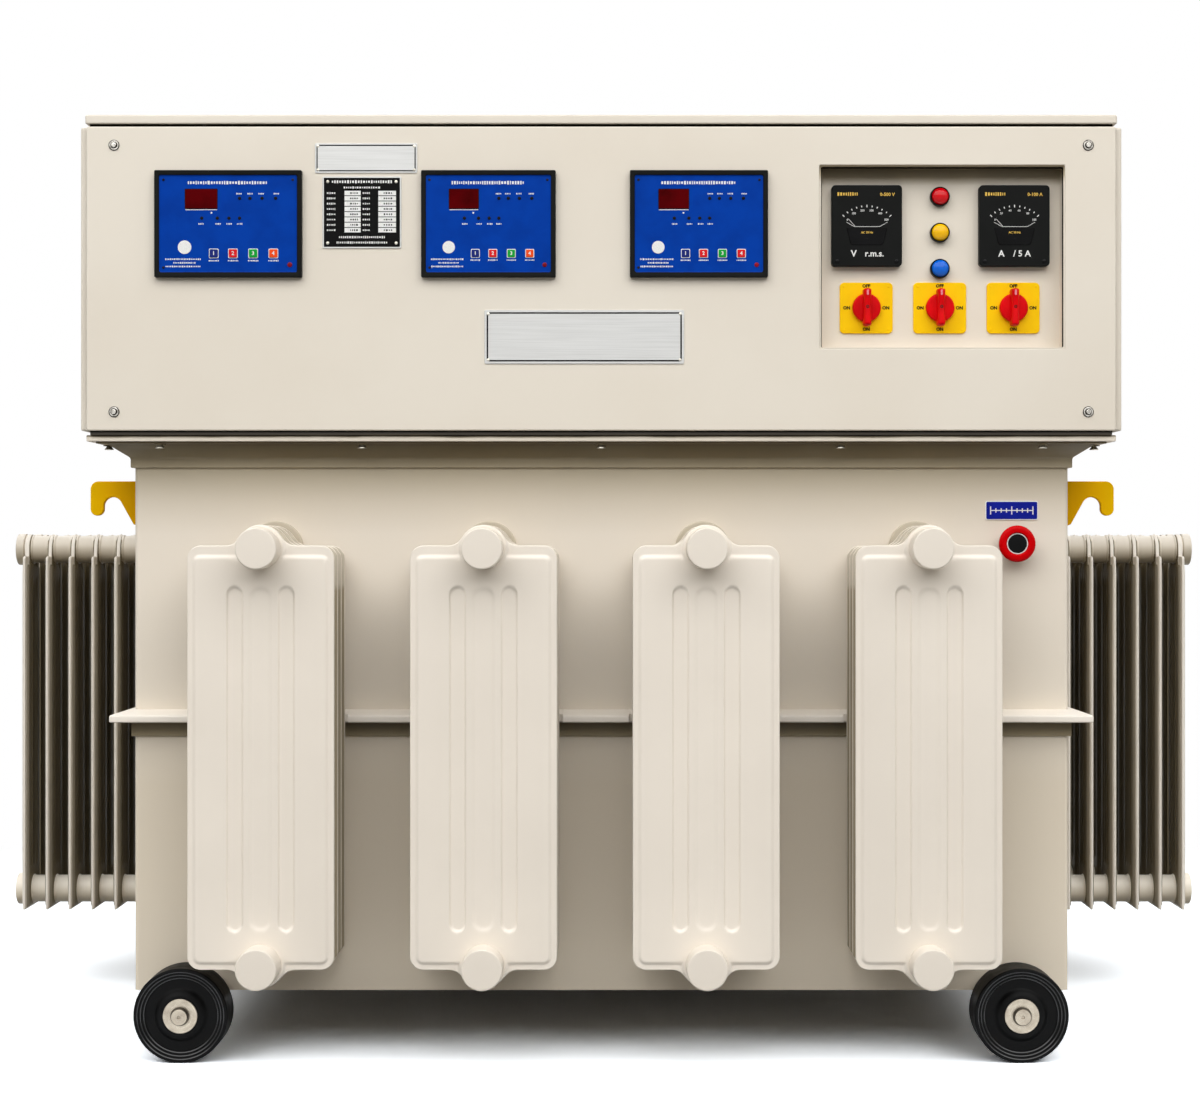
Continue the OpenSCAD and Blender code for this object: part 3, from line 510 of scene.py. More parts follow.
def blocks(put, across, up, width, height, low, high):
    # many thin blocks at once: each centre plus and minus half its width and height, low and high
    across, up, width, height = [np.atleast_1d(a).astype(float) for a in
                                 np.broadcast_arrays(across, up, width, height)]
    signs = np.array([[-1, -1], [1, -1], [1, 1], [-1, 1]])
    x = across[:, None] + signs[:, 0] * width[:, None] / 2
    z = up[:, None] + signs[:, 1] * height[:, None] / 2
    corners = np.concatenate([put(x, z, low), put(x, z, high)], axis=1)
    base = np.array([[3, 2, 1, 0], [4, 5, 6, 7], [0, 1, 5, 4], [1, 2, 6, 5], [2, 3, 7, 6], [3, 0, 4, 7]])
    faces = (np.arange(len(across))[:, None, None] * 8 + base).reshape(-1, 4)
    return corners.reshape(-1, 3), faces.tolist()


def lettering(put, text, across, up, size, low, high, weight):
    # plain letters centred on a point, thickened by a share of their size; made a mesh before
    # they are placed
    curve = bpy.data.curves.new("letters", "FONT")
    curve.body, curve.size, curve.align_x, curve.align_y = text, size, "CENTER", "CENTER"
    curve.extrude, curve.resolution_u, curve.offset = 0.5, 2, weight * size
    writer = bpy.data.objects.new("letters", curve)
    bpy.context.scene.collection.objects.link(writer)
    bpy.context.view_layer.update()
    mesh = bpy.data.meshes.new_from_object(writer.evaluated_get(bpy.context.evaluated_depsgraph_get()))
    points = np.empty(len(mesh.vertices) * 3)
    mesh.vertices.foreach_get("co", points)
    points = points.reshape(-1, 3)
    out = low + (points[:, 2] + 0.5) * (high - low)
    faces = [list(polygon.vertices) for polygon in mesh.polygons]
    bpy.data.objects.remove(writer)
    bpy.data.curves.remove(curve)
    bpy.data.meshes.remove(mesh)
    return put(across + points[:, 0], up + points[:, 1], out), faces


def smallPrint(put, across, up, width, height, marks, seed, low, high):
    # a line of small print too fine to read: short upright marks of uneven width
    random = np.random.default_rng(seed)
    widths = random.uniform(0.45, 1.0, marks)
    gap = 0.5
    starts = np.cumsum(widths + gap) - widths - gap
    scale = width / (starts[-1] + widths[-1])
    centres = across - width / 2 + (starts + widths / 2) * scale
    heights = height * random.uniform(0.62, 1.0, marks)
    return blocks(put, centres, up, widths * scale, heights, low, high)


def inkOn(face):
    # printing lies from just inside a face to 0.2 mm above it
    return face - 0.1 * mm, face + 0.2 * mm


def lerp(a, b, share):
    # a at share 0 and b at share 1, in a straight line between
    return a + (b - a) * share


def smoothStep(value):
    # three times the square less twice the cube: 0 to 1 with level ends
    value = np.clip(value, 0, 1)
    return value * value * (3 - 2 * value)


def boxOf(node):
    # a node's lowest and highest corners at rest, in metres
    low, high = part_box(node)
    return np.array(low), np.array(high)


# tank

tankLow, tankHigh = boxOf("tank_body")
tankShape = {
    "rimReach": 5, "rimBand": 14.4, "skirtReach": 33.5, "skirtDrop": 19,
    "railEdge": 10.5, "railLeg": 21.5, "railLegThickness": 4, "railGap": 5,
    "edgeRounding": 1.5,
}


def wrapped(profile, stations):
    # a closed profile of (reach, height) carried round the tank with mitred corners; a
    # station is (x share, y share, x, y, furthest reach), where a share is the outward turn
    profile = np.array(profile) * mm
    stations = np.array(stations)
    reach = np.minimum(profile[:, :1], stations[:, 4])
    x = stations[:, 2] + stations[:, 0] * reach
    y = stations[:, 3] + stations[:, 1] * reach
    z = np.broadcast_to(profile[:, 1:], x.shape)
    return gridPart(np.stack([x, y, z], -1), around=True)


def aroundTank(cuts=(), notch=0.0):
    # corner stations of the tank, with two stations at each end of every cut front and rear
    far = 1.0
    left, right, front, rear = tankLow[0], tankHigh[0], tankLow[1], tankHigh[1]
    steps = [(x, limit) for cut in cuts for x, limit in
             ((cut[0], far), (cut[0], notch), (cut[1], notch), (cut[1], far))]
    stations = [(-1, -1, left, front, far)]
    stations += [(0, -1, x, front, limit) for x, limit in steps]
    stations += [(1, -1, right, front, far), (1, 1, right, rear, far)]
    stations += [(0, 1, x, rear, limit) for x, limit in reversed(steps)]
    stations += [(-1, 1, left, rear, far)]
    return stations


def closedProfile(corners):
    # a closed outline with its corners rounded, ending where it starts
    return softened([*corners, corners[0]], 3)


def buildTank():
    # closed profiles of the rim, flange and rail, each carried once round the tank
    finishNode("tank_body", tankPaint)
    rimHigh = boxOf("rim_skirt")[1]
    flangeLow, flangeHigh = boxOf("mounting_flange")
    railLow, railHigh = boxOf("stiffener_rail")
    edge = tankShape["edgeRounding"]
    high = rimHigh[2] / mm
    low = high - tankShape["skirtDrop"] - tankShape["rimBand"]
    rim = closedProfile([(-1, low, 0), (tankShape["rimReach"], low, edge),
                         (tankShape["rimReach"], high - tankShape["skirtDrop"], edge * 2),
                         (tankShape["skirtReach"], high, 0.3), (-1, high, 0)])
    addPiece("rim_and_flared_skirt", [wrapped(rim, aroundTank())], skirtPaint, "tank_paint",
             replaces=["rim_skirt"])
    reach = (flangeHigh[0] - tankHigh[0]) / mm
    low, high = flangeLow[2] / mm, flangeHigh[2] / mm
    flange = closedProfile([(-20, low, 0), (reach, low, edge), (reach, high, edge), (-20, high, 0)])
    addPiece("bolted_flange", [wrapped(flange, aroundTank())], skirtPaint, "tank_paint",
             replaces=["mounting_flange"])
    reach = (railHigh[0] - tankHigh[0]) / mm
    bottom, top = railLow[2] / mm, railHigh[2] / mm
    shelf = bottom + tankShape["railLeg"]
    leg = tankShape["railLegThickness"]
    rail = closedProfile([(0.2, bottom, 0), (leg, bottom, 1), (leg, shelf, 2), (reach, shelf, 2),
                          (reach, shelf + tankShape["railEdge"], 3), (0.2, top, 0)])
    # the rail's edge is cut back behind each radiator
    cuts, notch, gap = [], 1.0, tankShape["railGap"] * mm
    for i in range(1, 5):
        radiatorLow, radiatorHigh = boxOf(f"front_radiator_{i}")
        cuts.append((radiatorLow[0] - gap, radiatorHigh[0] + gap))
        notch = tankLow[1] - radiatorHigh[1] - gap
    addPiece("pressed_stiffener_rail", [wrapped(rail, aroundTank(cuts, notch))], railPaint,
             "tank_paint", replaces=["stiffener_rail"])


nutShape = {"washer": 8.6, "shank": 3.4, "head": 4.6, "brim": 6.6, "height": 6.6,
            # places along the front and rear, and along the sides, as shares of half the tank
            "across": (-0.935, -0.507, 0, 0.507, 0.935), "along": (-0.975, 0, 0.975)}


def buildFlangeNuts():
    # domed bolts hang under the flange on washers in the skirt's painted shade, half way between skirt and
    # flange edge
    s = nutShape
    flangeLow, flangeHigh = boxOf("mounting_flange")
    out = (flangeHigh[0] - tankHigh[0] + tankShape["skirtReach"] * mm) / 2
    halfW, halfD = tankHigh[0], tankHigh[1]
    places = [(share * halfW, side * (halfD + out)) for share in s["across"] for side in (-1, 1)]
    places += [(side * (halfW + out), share * halfD) for share in s["along"] for side in (-1, 1)]
    washer = softened([(0, 0, 0), (s["washer"], 0, 0.2), (s["washer"], 1.2, 0.3), (0, 1.2, 0)])
    bolt = softened([(0, 1, 0), (s["shank"], 1, 0), (s["head"], s["height"] - 3.2, 1.2),
                     (s["brim"], s["height"] - 1, 0.6), (s["brim"], s["height"], 0.4), (0, s["height"], 0)])
    for name, profile, paint in (("washers", washer, skirtPaint), ("bolts", bolt, zincPlate)):
        parts = [turned(profile, (x, y, flangeLow[2]), (0, 0, -1), 28) for x, y in places]
        addPiece("flange_" + name, parts, paint, "zinc", replaces=["flange_nuts"], sharp=50)


lugShape = {"reach": 95, "crown": 18, "corner": 12, "lobe": 10, "notch": 14, "toe": 60,
            "knee": (30, -47), "lobeHeight": -24, "notchHeight": -20, "edge": 1.5, "thickness": 12}


def lugOutline():
    # the hook plate's outline in (out from the wall, height): straight runs and arcs
    s = lugShape
    notchX = s["reach"] - 2 * s["lobe"] - s["notch"]

    def arc(x, z, r, first, last, steps=14):
        angle = np.radians(np.linspace(first, last, steps))
        return np.column_stack([x + r * np.cos(angle), z + r * np.sin(angle)])

    return np.concatenate([
        [[0, s["crown"]]],
        arc(s["reach"] - s["corner"], s["crown"] - s["corner"], s["corner"], 90, 0),
        arc(s["reach"] - s["lobe"], s["lobeHeight"], s["lobe"], 0, -180, 24),
        arc(notchX, s["notchHeight"], s["notch"], 0, 151, 24),
        [list(s["knee"]), [0, -s["toe"]]]])


def insetOutline(outline, distance):
    # moves a closed outline inwards along the mean of its two sides' normals
    side = np.roll(outline, -1, axis=0) - outline
    normal = np.column_stack([side[:, 1], -side[:, 0]])
    normal /= np.linalg.norm(normal, axis=1)[:, None]
    mean = normal + np.roll(normal, 1, axis=0)
    mean /= np.maximum((mean ** 2).sum(1)[:, None] / 2, 0.35)
    return outline + mean * distance


def buildLugs():
    # four hook plates: the outline stacked through the thickness, inset by a quarter circle at
    # both faces
    outline = lugOutline()
    edge, half = lugShape["edge"], lugShape["thickness"] / 2
    turn = np.linspace(0, np.pi / 2, 4)
    insets = edge * (1 - np.cos(turn))
    depths = edge * (1 - np.sin(turn))
    lugHigh = boxOf("lifting_lugs")[1]
    heights = np.concatenate([-(half - depths[::-1]), half - depths])
    insets = np.concatenate([insets[::-1], insets])
    base = lugHigh[2] / mm - lugShape["crown"]
    parts = []
    for sideX in (-1, 1):
        for sideY in (-1, 1):
            y = sideY * (lugHigh[1] / mm - half)
            stack = [insetOutline(outline, inset) for inset in insets]
            points = np.stack([np.column_stack([sideX * (tankHigh[0] / mm + ring[:, 0]),
                                                np.full(len(ring), y + h), base + ring[:, 1]])
                               for ring, h in zip(stack, heights)]) * mm
            parts.append(gridPart(points, True, True, True))
    # painted shade: the yellow darkens towards the tank wall
    shaded = shadedEnamel("chrome yellow enamel, lugs", [(0.0, "#CA9500"), (0.35, "#EBAE00"),
                                                         (0.7, "#FFC000"), (1.0, "#FFC800")],
                          tankHigh[0], lugHigh[0], "X", specular=0.05)
    addPiece("lifting_lug_plates", parts, shaded, "yellow_paint", replaces=["lifting_lugs"])


gaugeShape = {"neck": 21.6, "neckLength": 15, "body": 26.6, "window": 15.3, "ring": 13.8}
labelShape = {"radius": 3, "border": 1.4, "tick": 1.6, "line": 1.3}


def buildOilGauge():
    # a turned sight glass: barrel in a darker red as painted shade, red nut, white ring and dark glass;
    # above it a blue label
    low, high = boxOf("oil_gauge")
    plane = tankLow[1]
    reach = (plane - low[1]) / mm
    s = gaugeShape
    neck, body, window, ring = s["neck"], s["body"], s["window"], s["ring"]
    shoulder = reach - s["neckLength"]
    barrel = softened([(0, 0, 0), (neck, 0, 0), (neck, shoulder, 1), (body - 1, shoulder + 1, 2),
                       (body - 0.4, reach - 5, 1), (0, reach - 5, 0)], 4)
    nut = softened([(window, reach - 6, 0), (body - 0.4, reach - 6, 0), (body, reach - 5, 0.6),
                    (body - 0.6, reach - 2, 2.5), (body - 4, reach, 3), (window + 1.2, reach, 1.2),
                    (window, reach - 3.5, 0.5), (window, reach - 6, 0)], 6)
    collar = softened([(window, reach - 4, 0), (window + 0.1, reach - 2.2, 0.8),
                       (ring, reach - 1.8, 0.8), (ring, reach - 4, 0)])
    glass = softened([(0, reach - 5, 0), (ring + 0.4, reach - 5, 0), (ring + 0.4, reach - 3, 0.5),
                      (7, reach - 2.3, 3), (0, reach - 2.2, 0)])
    for title, profile, segments, material, slot in (
            ("barrel", barrel, 72, shadedRed, "gauge_red"), ("nut", nut, 72, redPaint, "gauge_red"),
            ("ring", collar, 72, whiteInk, "plate_silver"),
            ("glass", glass, 48, meterGlass, "meter_black")):
        addPiece("oil_gauge_" + title, [onFront(profile, middleOf(low, high), plane, segments)], material,
                 slot, replaces=["oil_gauge"] if title == "barrel" else ())
    put = facing("front", plane)
    low, high = boxOf("oil_label")
    x, z = middleOf(low, high)
    w, h, t = high[0] - low[0], high[2] - low[2], plane - low[1]
    s = labelShape
    border, field = 2 * s["border"] * mm, t - 0.3 * mm
    addPiece("oil_label_plate", [plateOn(put, x, z, w, h, s["radius"] * mm, field, 0.4 * mm)], whiteInk,
             "label_blue", replaces=["oil_label"])
    blue = plateOn(put, x, z, w - border, h - border, 2 * mm, 0.3 * mm, 0.1 * mm, field)
    addPiece("oil_label_field", [blue], labelBlue, "label_blue")
    # a level mark: one long line across upright ticks, each fourth one taller
    ticks = x + np.linspace(-0.4, 0.4, 9) * w
    tall = np.where(np.arange(9) % 4 == 0, 0.42, 0.22) * h
    parts = [blocks(put, ticks, z, s["tick"] * mm, tall, t - 0.1 * mm, t + 0.1 * mm),
             blocks(put, x, z, w * 0.8, s["line"] * mm, t - 0.1 * mm, t + 0.1 * mm)]
    addPiece("oil_label_level_mark", parts, whiteInk, "label_blue")


# wheels and axles

wheelShape = {"rim": 4.8, "steps": 3, "spacing": 4.5, "polish": 1.4, "rise": 0.75, "dish": 7, "hub": 28,
              "boss": 37, "tread": 3, "bore": 12.05}


def buildWheels():
    # an iron casting: tread, rim, polished steps down into the dish, web and boss
    s = wheelShape
    radius = (wheelHigh[2] - wheelLow[2]) / 2 / mm
    half = (wheelHigh[1] - wheelLow[1]) / 2 / mm
    bore, web = s["bore"], half - s["dish"]
    # each polished step: inner radius and height, outer radius and height
    drop = (s["dish"] - s["rise"]) / s["steps"]
    slopes = [(radius - s["rim"] - i * s["spacing"] - s["polish"], half - i * drop - s["rise"],
               radius - s["rim"] - i * s["spacing"], half - i * drop) for i in range(s["steps"])]
    face = [(bore, half, 0.4), (s["hub"], half, 1.6), (s["hub"] + 5, half - 2.4, 2),
            (s["boss"], web + 1, 1.4), (s["boss"] + 2, web, 1.5), (slopes[-1][0] - 0.6, web, 0.3)]
    for r0, a0, r1, a1 in reversed(slopes):
        face += [(r0, a0, 0.2), (r1, a1, 0.4), (r1 + s["spacing"] - s["polish"] - 0.8, a1, 0.4)]
    face = [*face[:-1], (radius, half, s["tread"])]
    back = [(r, -a, c) for r, a, c in reversed(face)]
    profile = softened([(bore, 0, 0), *face, *back, (bore, 0, 0)], 5)
    for node in ("wheel_front_left", "wheel_front_right", "wheel_rear_left", "wheel_rear_right"):
        low, high = boxOf(node)
        centre, rings = (low + high) / 2, []
        addPiece(node + "_casting", [turned(profile, centre, (0, -1, 0), 112)], wheelEnamel, "wheel_black",
                 body=node, replaces=[node])
        for r0, a0, r1, a1 in slopes:
            ring = closedProfile([(r0, a0 - 0.6, 0), (r0, a0 + 0.06, 0.1), (r1, a1 + 0.06, 0.1),
                                  (r1, a1 - 0.6, 0)])
            rings += [turned(ring, centre, (0, turn, 0), 112) for turn in (-1, 1)]
        addPiece(node + "_polished_steps", rings, polishedEnamel, "wheel_black", body=node)


axleShape = {"radius": 12, "sleeve": 20, "sleeveLength": 48, "washer": 24.6, "washerThickness": 2.2,
             "lip": 1.6, "lipHeight": 1.2, "gap": 0.5, "centreHole": 2.4}


def buildAxles():
    # half an axle out from the middle: shaft, sleeve behind the wheel, washer with a lip, end with
    # a centre hole; turned four times
    s = axleShape
    end = boxOf("axles")[1][1] / mm
    inner, washer = wheelLow[1] / mm, wheelHigh[1] / mm + s["gap"]
    radius, lip, face = s["radius"], s["radius"] + s["lip"], washer + s["washerThickness"]
    sleeve = inner - s["sleeveLength"]
    profile = softened([(0, 0, 0), (radius, 0, 0), (radius, sleeve, 0), (s["sleeve"], sleeve + 1, 1),
                        (s["sleeve"], inner - s["gap"], 1), (radius, inner - 0.4, 0), (radius, washer, 0),
                        (s["washer"], washer, 0.4), (s["washer"], face, 0.7), (lip, face, 0.2),
                        (lip, face + s["lipHeight"], 0.5), (radius, face + s["lipHeight"], 0.2),
                        (radius, end, 1.4), (s["centreHole"], end, 0.3),
                        (s["centreHole"] - 0.8, end - 1.5, 0.2), (0, end - 2, 0)], 4)
    parts = [turned(profile, (side * wheelCentre[0], 0, wheelCentre[2]), (0, direction, 0), 72)
             for side in (-1, 1) for direction in (-1, 1)]
    addPiece("axles_and_washers", parts, axleSteel, "bright_steel", replaces=["axles"])
    finishNode("axle_brackets", bracketPaint)


# radiators

elementShape = {"edge": 3.0, "raised": 3.0, "border": 7.0, "brow": 4.5, "browFillet": 12, "bevel": 5.5,
                "collarRise": 3.0, "roll": 1.8}
# each flute: share of the width to its centre, share that it spans, depth, width of its walls
rowShape = {"pipe": 25, "cap": 28.6, "capLength": 48, "standoff": 23, "pitch": 45, "count": 4,
            "overrun": 4.5, "underrun": 8, "clean": 1.7, "corner": 19, "fillet": 16, "collar": 33.5,
            "fluteTop": 52, "fluteBottom": 45,
            "flutes": [(0, 0.17, 1.8, 7), (-0.175, 0.118, 3.2, 3.0), (0.175, 0.118, 3.2, 3.0)],
            "fineGrid": (112, 108), "plainGrid": (36, 48)}
sideShape = {"pipe": 22.5, "cap": 26, "capLength": 14, "standoff": 52, "pitch": 37.8, "count": 7,
             "drop": 11, "edge": 2.0, "raised": 3.6, "roll": 1.0, "clean": 2.2, "corner": 6, "fillet": 5,
             "collar": 25.5, "fluteTop": 46, "fluteBottom": 39, "width": 100,
             "flutes": [(0, 0.18, 1.6, 5), (-0.173, 0.118, 2.2, 3), (0.173, 0.118, 2.2, 3)],
             "fineGrid": (72, 80), "plainGrid": (36, 44)}


def packedLines(low, high, features, count):
    # lines across a span, packed closer at each feature (place, reach)
    spots = np.linspace(low, high, 4000)
    density = np.full_like(spots, 1 / (high - low) * 12)
    for place, reach in features:
        density += 1.0 / reach * np.exp(-((spots - place) / reach) ** 2)
    total = np.concatenate([[0], np.cumsum((density[1:] + density[:-1]) / 2)])
    return np.interp(np.linspace(0, total[-1], count), total, spots)


def pressedElement(shape, width, bottom, top, lowPipe, highPipe, grid):
    # half of a radiator element in millimetres: a height field over a round rectangle that
    # swells round its two pipe holes. Returns x, z and the height of the pressed sheet.
    s = {**elementShape, **shape}
    columns, rows = grid
    collar, fluteTop, fluteBottom = s["collar"], highPipe - s["fluteTop"], lowPipe + s["fluteBottom"]
    halfW, middle, halfH = width / 2, (top + bottom) / 2, (top - bottom) / 2

    def inside(x, z):
        # distance in from the outline: round rectangle and two collars, filleted together
        qx, qz = np.abs(x) - (halfW - s["corner"]), np.abs(z - middle) - (halfH - s["corner"])
        outer = np.hypot(np.maximum(qx, 0), np.maximum(qz, 0)) + np.minimum(np.maximum(qx, qz), 0)
        body = s["corner"] - outer
        for pipe in (lowPipe, highPipe):
            ring = collar - np.hypot(x, z - pipe)
            share = np.clip(0.5 + 0.5 * (body - ring) / s["fillet"], 0, 1)
            body = lerp(ring, body, share) + s["fillet"] * share * (1 - share)
        return body

    def outline(x, near, far):
        # the height where each column leaves the element, by halving the span
        inner, outer = np.full_like(x, near), np.full_like(x, far)
        for _ in range(36):
            half = (inner + outer) / 2
            within = inside(x, half) > 0
            inner, outer = np.where(within, half, inner), np.where(within, outer, half)
        return inner

    # lines crowd together at the outline, the collars, and the walls and ends of the flutes
    flutes = s["flutes"]
    sides = [(side * (halfW - place), reach) for side in (-1, 1) for place, reach in ((0.3, 1.4), (10, 6))]
    sides += [(side * collar, 5) for side in (-1, 1)]
    sides += [(centre * width + side * (share * width / 2 - wall / 2), wall * 0.8)
              for centre, share, depth, wall in flutes for side in (-1, 1)]
    x = packedLines(-halfW + 0.01, halfW - 0.01, sides, columns)
    ends = [(edge, reach) for edge, reach in ((bottom, 3), (bottom + 10, 6), (top, 3), (top - 14, 7),
                                              (highPipe - collar, 6), (lowPipe + collar, 6))]
    ends += [(fluteTop - 6, 8), (fluteBottom + 6, 8)]
    z = packedLines(bottom, top, ends, rows)
    # towards each end the rows bend until the last one lies along the outline
    highest = outline(x, top - 2 * s["corner"], highPipe + collar + 4)
    lowest = outline(x, bottom + 2 * s["corner"], lowPipe - collar - 4)
    span = 2.2 * max(s["corner"], highPipe + collar - top, bottom - lowPipe + collar)
    z = z[:, None]
    z = z + np.clip((z - (top - span)) / span, 0, 1) * (highest - top) \
        + np.clip((bottom + span - z) / span, 0, 1) * (lowest - bottom)
    x = np.broadcast_to(x, z.shape)
    depth = np.maximum(inside(x, z), 0)
    depth[0], depth[-1], depth[:, 0], depth[:, -1] = 0, 0, 0, 0
    nearPipe = np.minimum(np.hypot(x, z - lowPipe), np.hypot(x, z - highPipe))
    collarRise = s["collarRise"] * smoothStep((collar + 2 - nearPipe) / 4)
    # the flat border is broader along the top, by the brow
    below = top - s["brow"] - z
    share = np.clip(0.5 + 0.5 * (depth - below) / s["browFillet"], 0, 1)
    within = lerp(depth, below, share) - s["browFillet"] * share * (1 - share)
    raised = s["raised"] * smoothStep((within - s["border"]) / s["bevel"])
    sheet = s["edge"] + np.maximum(raised, collarRise)
    for centre, share, sink, wall in flutes:
        r = share * width / 2
        length = (fluteTop - fluteBottom) / 2 - r
        along = np.maximum(np.abs(z - (fluteTop + fluteBottom) / 2) - length, 0)
        into = r - np.hypot(x - centre * width, along)
        sheet = sheet - sink * smoothStep(into / wall)
    # the rolled rim rises as a steep fourth-power curve from the outline
    rounding = np.clip(depth / np.minimum(sheet, s["roll"]), 0, 1)
    return x, z, sheet * (1 - (1 - rounding) ** 4) ** 0.25


def elementParts(half, put, across, out):
    # both pressed sheets of an element whose welded seam lies out from the wall
    x, z, height = half
    return [gridPart(put(across + x * mm, z * mm, out + side * height * mm)) for side in (-1, 1)]


headerShape = {"wallFlange": 40, "wallThickness": 9, "bead": 5, "capEdge": 2.4, "capCrown": 0.3,
               "seamReach": 8, "seamRise": 1.6, "seamHalf": 6.2}


def headerPipe(centre, direction, reach, shape, welds):
    # wall flange, weld bead, pipe with a bead on each side of every element, domed end cap
    s = headerShape
    pipe, cap, capLength = shape["pipe"], shape["cap"], shape["capLength"]
    corners = [(0, 0, 0), (s["wallFlange"], 0, 0), (s["wallFlange"], s["wallThickness"], 2.5),
               (pipe + s["bead"], s["wallThickness"], 1), (pipe, s["wallThickness"] + s["bead"], 2)]
    bead, seam, half = pipe + s["seamRise"], s["seamReach"], s["seamHalf"]
    for place in welds:
        corners += [(pipe, place - seam, 0.5), (bead, place - half, 0.8), (bead, place + half, 0.8),
                    (pipe, place + seam, 0.5)]
    corners = [c for c in corners if c[1] < reach - capLength - 1]
    corners += [(pipe, reach - capLength, 0.2), (cap, reach - capLength, 1.5),
                (cap, reach - s["capCrown"], s["capEdge"]), (0, reach, 0)]
    return turned(softened(corners, 4), centre, direction, 56)


def buildRowRadiators():
    # four radiators on the front and four on the rear, each of four elements on two headers
    headerLow, headerHigh = boxOf("front_headers")
    low, high = boxOf("front_radiator_1")
    width = (high[0] - low[0]) / mm
    lowPipe = headerLow[2] / mm + headerShape["wallFlange"]
    highPipe = headerHigh[2] / mm - headerShape["wallFlange"]
    reach = (headerHigh[1] - headerLow[1]) / mm
    size = (width, lowPipe - rowShape["underrun"], highPipe + rowShape["overrun"], lowPipe, highPipe)
    fine = pressedElement(rowShape, *size, rowShape["fineGrid"])
    plain = pressedElement(rowShape, *size, rowShape["plainGrid"])
    welds = [rowShape["standoff"] + i * rowShape["pitch"] for i in range(rowShape["count"])]
    headers = {"front": [], "rear": []}
    # first seam, pitch and last seam, out from the middle, and half a seam's width
    seams = np.array([tankHigh[1] / mm + welds[0], rowShape["pitch"], tankHigh[1] / mm + welds[-1],
                      rowShape["clean"]])
    # painted shade between the rows, on the inner elements; the outer element keeps the plain paint
    shadedPlates = dustyEnamel("stoved enamel, painted shade between rows", "#E8DFD1", "#A2967E", "Y", seams * mm, -1,
                        (highPipe - 60) * mm)
    for number in range(1, 5):
        low, high = boxOf(f"front_radiator_{number}")
        x = (low[0] + high[0]) / 2
        for name, wall, turn in (("front", tankLow[1], 1), ("rear", tankHigh[1], -1)):
            put = facing("front" if turn == 1 else "back", wall)
            node = f"front_radiator_{number}" if turn == 1 else "rear_radiators"
            inner = [part for place in welds[:-1]
                     for part in elementParts(plain, put, x * turn, place * mm)]
            for title, parts, paint in (("inner", inner, shadedPlates), ("outer", elementParts(
                    fine, put, x * turn, welds[-1] * mm), radiatorPaint)):
                addPiece(f"{name}_radiator_{number}_{title}_pressings", parts, paint, "radiator_paint",
                         replaces=[node], weighted=False, sharp=70)
            for z in (lowPipe * mm, highPipe * mm):
                headers[name].append(headerPipe((x, wall, z), (0, -turn, 0), reach, rowShape, welds))
    # painted shade: darker near the wall, pale out at the caps, which stand clear of the elements
    pipePaint = shadedEnamel("stoved enamel, row pipes",
                             [(0.0, "#C0B5A1"), (0.7, "#CBC0AD"), (0.82, "#EAE1D4")],
                             tankHigh[1], tankHigh[1] + reach * mm, "Y")
    for name, parts in headers.items():
        addPiece(name + "_header_pipes", parts, pipePaint, "radiator_paint",
                 replaces=[name + "_headers"])


def buildSideRadiators():
    # on each side two narrow radiators stand one behind the other
    for name, sign, wall in (("left", -1, tankLow[0]), ("right", 1, tankHigh[0])):
        headerLow, headerHigh = boxOf(name + "_headers")
        low, high = boxOf(name + "_radiators")
        lowPipe = headerLow[2] / mm + headerShape["wallFlange"]
        highPipe = headerHigh[2] / mm - headerShape["wallFlange"]
        size = (sideShape["width"], low[2] / mm, highPipe - sideShape["drop"], lowPipe, highPipe)
        fine = pressedElement(sideShape, *size, sideShape["fineGrid"])
        plain = pressedElement(sideShape, *size, sideShape["plainGrid"])
        reach = (headerHigh[0] - headerLow[0]) / mm
        welds = [sideShape["standoff"] + i * sideShape["pitch"] for i in range(sideShape["count"])]
        put = facing(name, wall)
        parts, pipes = [], {"low": [], "high": []}
        for y in (low[1] + sideShape["width"] / 2 * mm, high[1] - sideShape["width"] / 2 * mm):
            for place in welds:
                parts += elementParts(fine if place == welds[-1] else plain, put, sign * y, place * mm)
            for title, z in (("low", lowPipe * mm), ("high", highPipe * mm)):
                pipes[title].append(headerPipe((wall, y, z), (sign, 0, 0), reach, sideShape, welds))
        if name == "left":
            seams = np.array([tankHigh[0] / mm + welds[0], sideShape["pitch"], tankHigh[0] / mm + welds[-1],
                              sideShape["clean"]])
            # painted shade between the plates, lighter higher up and towards the open rims
            shadedPlates = dustyEnamel("stoved enamel, painted shade between plates", "#F8F1E6", "#7C7159", "X",
                                seams * mm, 0.03, 10, (high[1] - 0.020, high[1] - 0.002, 0.42))
            # painted light and shade: each pipe is paler on top and darker underneath, by height across its
            # bore
            paints = {title: shadedEnamel(f"stoved enamel, {title} pipe", stops, (z - 24) * mm,
                                          (z + 24) * mm)
                      for title, z, stops in
                      (("low", lowPipe, [(0.0, "#A4977D"), (0.4, "#E8DDC9"), (0.8, "#FFF7E8")]),
                       ("high", highPipe, [(0.0, "#8F836B"), (0.3, "#B3A791"), (0.7, "#DDD3C2"),
                                           (1.0, "#EFE7DA")]))}
        addPiece(name + "_radiator_pressings", parts, shadedPlates, "radiator_paint",
                 replaces=[name + "_radiators"], weighted=False, sharp=42)
        for title, runs in pipes.items():
            addPiece(f"{name}_{title}_header_pipes", runs, paints[title], "radiator_paint",
                     replaces=[name + "_headers"])


# cabinet

cabinetShape = {"panelEdge": 2.2, "lidEdge": 2.2, "panEdge": 1.5, "coverEdge": 3, "corner": 3,
                "pressingCorner": 4, "openingEdge": 1.2, "openingRadius": 2, "openingGap": 0.4}


